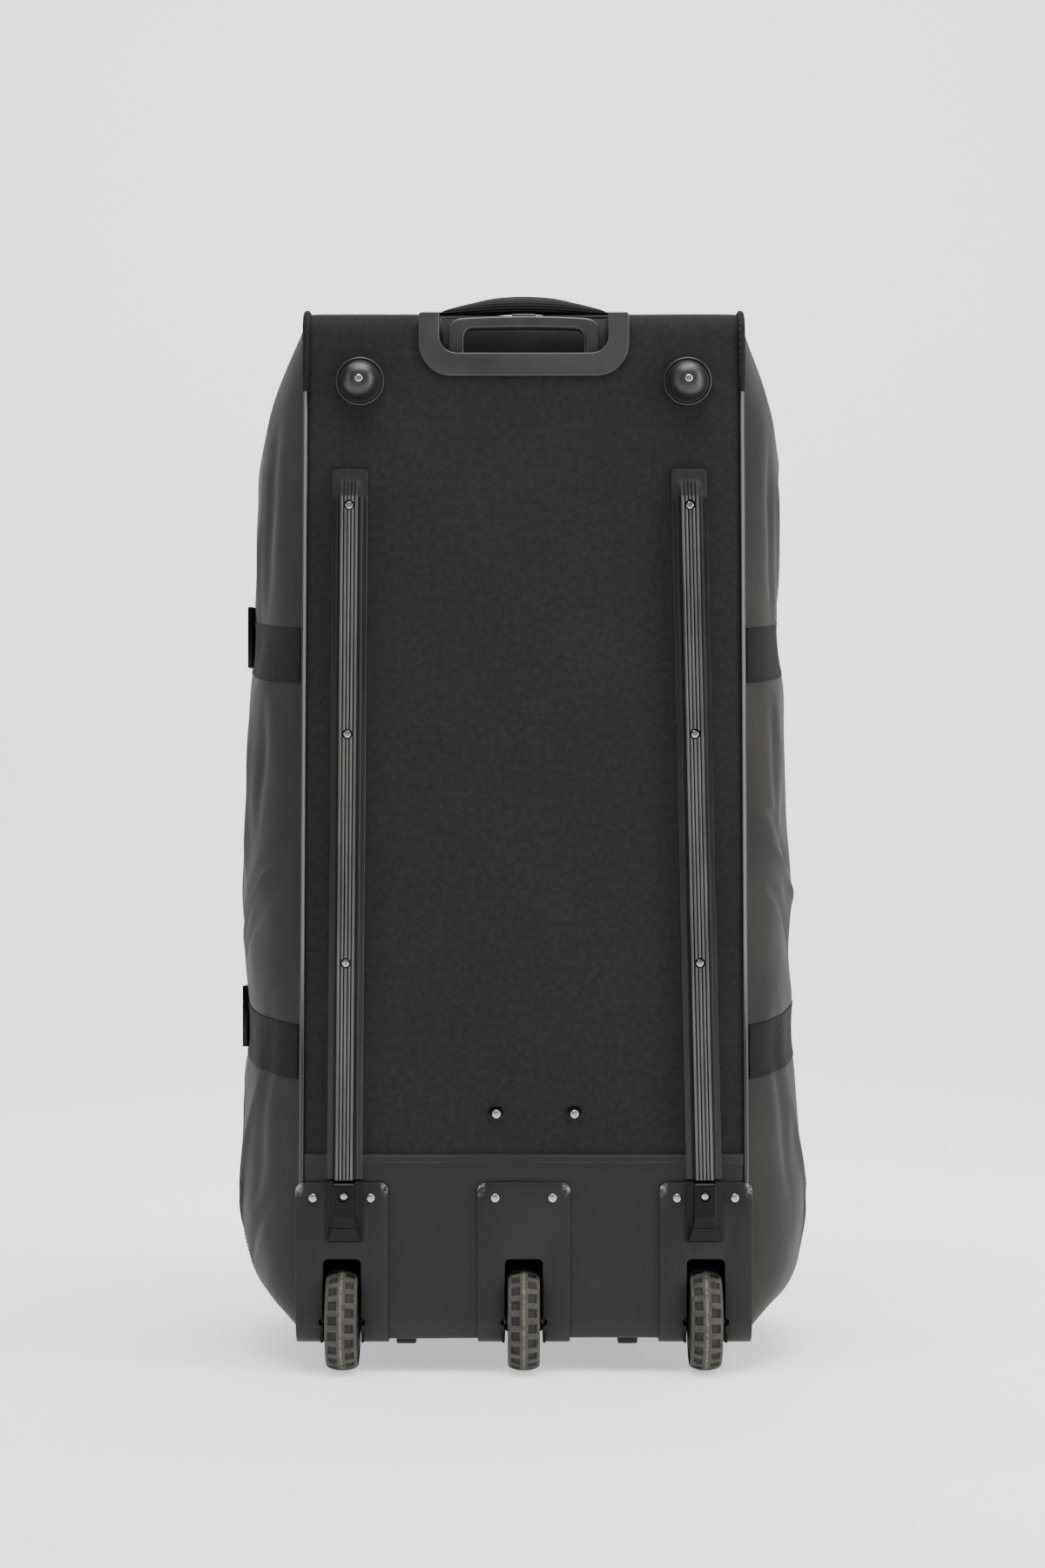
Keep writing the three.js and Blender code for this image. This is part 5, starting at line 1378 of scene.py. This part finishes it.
def strapSheet(name, height):
    rows = []
    for offset in np.linspace(strap["half"], -strap["half"], strap["rows"]):
        z = strapHeight(height, bag["depth"]) + offset
        ends = {}
        for side in (-1, 1):
            depths = np.arange(strap["start"], strap["end"], strap["step"])
            ends[side] = [sideHit(side, depth, strapHeight(height, depth) + offset, strap["lift"])
                          for depth in depths]
            for turn in (0, math.pi / 4, math.pi / 2):
                outward = strap["corner"] * math.cos(turn)
                onward = strap["corner"] * math.sin(turn)
                ends[side].append(np.array([side * (halfWidth(z) + outward),
                                            bag["face"] + bag["depth"] + onward, z]))
        across = np.arange(-strap["lidHalf"], strap["lidHalf"] + 0.0001, strap["step"])
        middle = [lidHit(x, z, strap["lift"]) for x in across]
        rows.append(ends[-1] + middle + ends[1][::-1])
    piece = gridPiece(name, smoothed(np.array(rows), 2))
    return bevel(thicken(piece, strap["wall"]), strap["edge"], 2)


def tailSheet(name, height):
    rows = []
    for offset in np.linspace(1, -1, 9) * (strap["half"] - strap["tailInset"]):
        rows.append([sideHit(-1, depth, strapHeight(height, depth) + offset,
                             strap["tailLift"] + strap["tailCurl"] * max(0, (depth - 0.235) / 0.017) ** 2)
                     for depth in np.linspace(strap["tailFrom"], strap["tailTo"], 26)])
    piece = gridPiece(name, smoothed(np.array(rows), 2))
    return bevel(thicken(piece, strap["tailWall"]), strap["edge"], 2)


for word, height in strapHeights.items():
    keep(strapSheet("webbing_" + word, height), strapLook, ["strap_" + word])
    keep(tailSheet("webbingTail_" + word, height), strapLook, ["strap_tail_" + word])
    low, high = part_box("strap_buckle_" + word)
    middle = (low + high) / 2
    surface = sideHit(-1, middle.y - bag["face"], middle.z, strap["lift"])
    shift = (surface[0] - high.x - strap["sliderGap"], 0, 0)
    slider = refined("slider_" + word, "strap_buckle_" + word, 0.0007, shift=shift)
    keep(slider, glossLook, ["strap_buckle_" + word])
print("straps made")

# Zip down the lid: tape, two rows of teeth and its pull
zipForm = {
    "half": 0.016,
    "top": 0.880,
    "bottom": 0.110,
    "lift": 0.0012,
    "wall": 0.0010,
    "tooth": 0.0014,
    "toothHalf": (0.0008, 0.0019),
    "sunk": 0.0004,
    "pitch": 0.0026,
    "spread": 0.0016,
}
levels = np.linspace(zipForm["top"], zipForm["bottom"], 190)
across = np.linspace(-1, 1, 13) * zipForm["half"]
tape = gridPiece("zipTape", np.array([[lidHit(x, z, zipForm["lift"]) for x in across] for z in levels]))
thicken(tape, zipForm["wall"])
alongHalf, acrossHalf = zipForm["toothHalf"]
tooth = block("tooth", (-alongHalf, -acrossHalf, -zipForm["sunk"]), (alongHalf, acrossHalf, zipForm["tooth"]))
bevel(tooth, 0.0003, 1)
teeth = []
for side, start in ((-1, 0.002), (1, 0.002 + zipForm["pitch"] / 2)):
    line = np.array([lidHit(side * zipForm["spread"], z, zipForm["lift"]) for z in levels])
    outward = np.tile([0, 1, 0], (len(levels), 1))
    teeth.append(strewn("zipTeeth", tooth, line, outward, zipForm["pitch"], start))
keep(tape, tapeLook, ["main_zip"])
keep(joined("zipTeeth", *teeth), glossLook)
keep(refined("zipPullTag", "zip_pull", 0.0006), zipLook, ["zip_pull"])

# End handle: padded webbing arched over the top, its flat ends sewn down
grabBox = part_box("end_handle")
grab = {
    "width": 0.018,
    "pad": 0.0080,
    "flat": 0.0013,
    "seat": -0.0008,
    "lean": 0.25,
    "steps": 90,
    "fatTo": 0.86,
    "fatRun": 0.55,
    "peak": 1.15,
}
turns = np.linspace(0, 2 * math.pi, 40, endpoint=False)
rings = []
for share in np.linspace(-1, 1, grab["steps"]):
    bend = max(math.cos(share * math.pi / 2), 0) ** grab["peak"]
    fat = np.clip((grab["fatTo"] - abs(share)) / grab["fatRun"], 0, 1) ** 0.5
    thick = grab["flat"] + (grab["pad"] - grab["flat"]) * fat
    lowest = grabBox[0].z + grab["seat"]
    middleZ = lowest + (grabBox[1].z - grab["pad"] - lowest) * bend
    side = grab["width"] * (1 - 0.05 * fat) * np.sign(np.cos(turns)) * np.abs(np.cos(turns)) ** 0.55
    up = thick * np.sign(np.sin(turns)) * np.abs(np.sin(turns)) ** 0.8
    middleY = (grabBox[0].y + grabBox[1].y) / 2
    rings.append(np.stack([np.full(len(turns), share * grabBox[1].x), middleY + side,
                           middleZ + up + side * grab["lean"] * bend], axis=1))
endHandle = loft("endHandlePad", rings)
keep(endHandle, padLook, ["end_handle"])

# Stand feet, and the CAD nodes that stay
for word in ("left", "right"):
    foot = refined("standFoot_" + word, "stand_foot_" + word, 0.0018, 3)
    keep(foot, footLook, ["stand_foot_" + word])
stays = {
    "axle_left": steelLook,
    "axle_middle": steelLook,
    "axle_right": steelLook,
    "pull_tube_left": tubeLook,
    "pull_tube_right": tubeLook,
    "pull_guide": wellLook,
}
for node, finish in stays.items():
    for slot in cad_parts[node].material_slots:
        slot.material = finish.material
for model in (stitch, tooth):
    bpy.data.objects.remove(model)
print("small parts made")
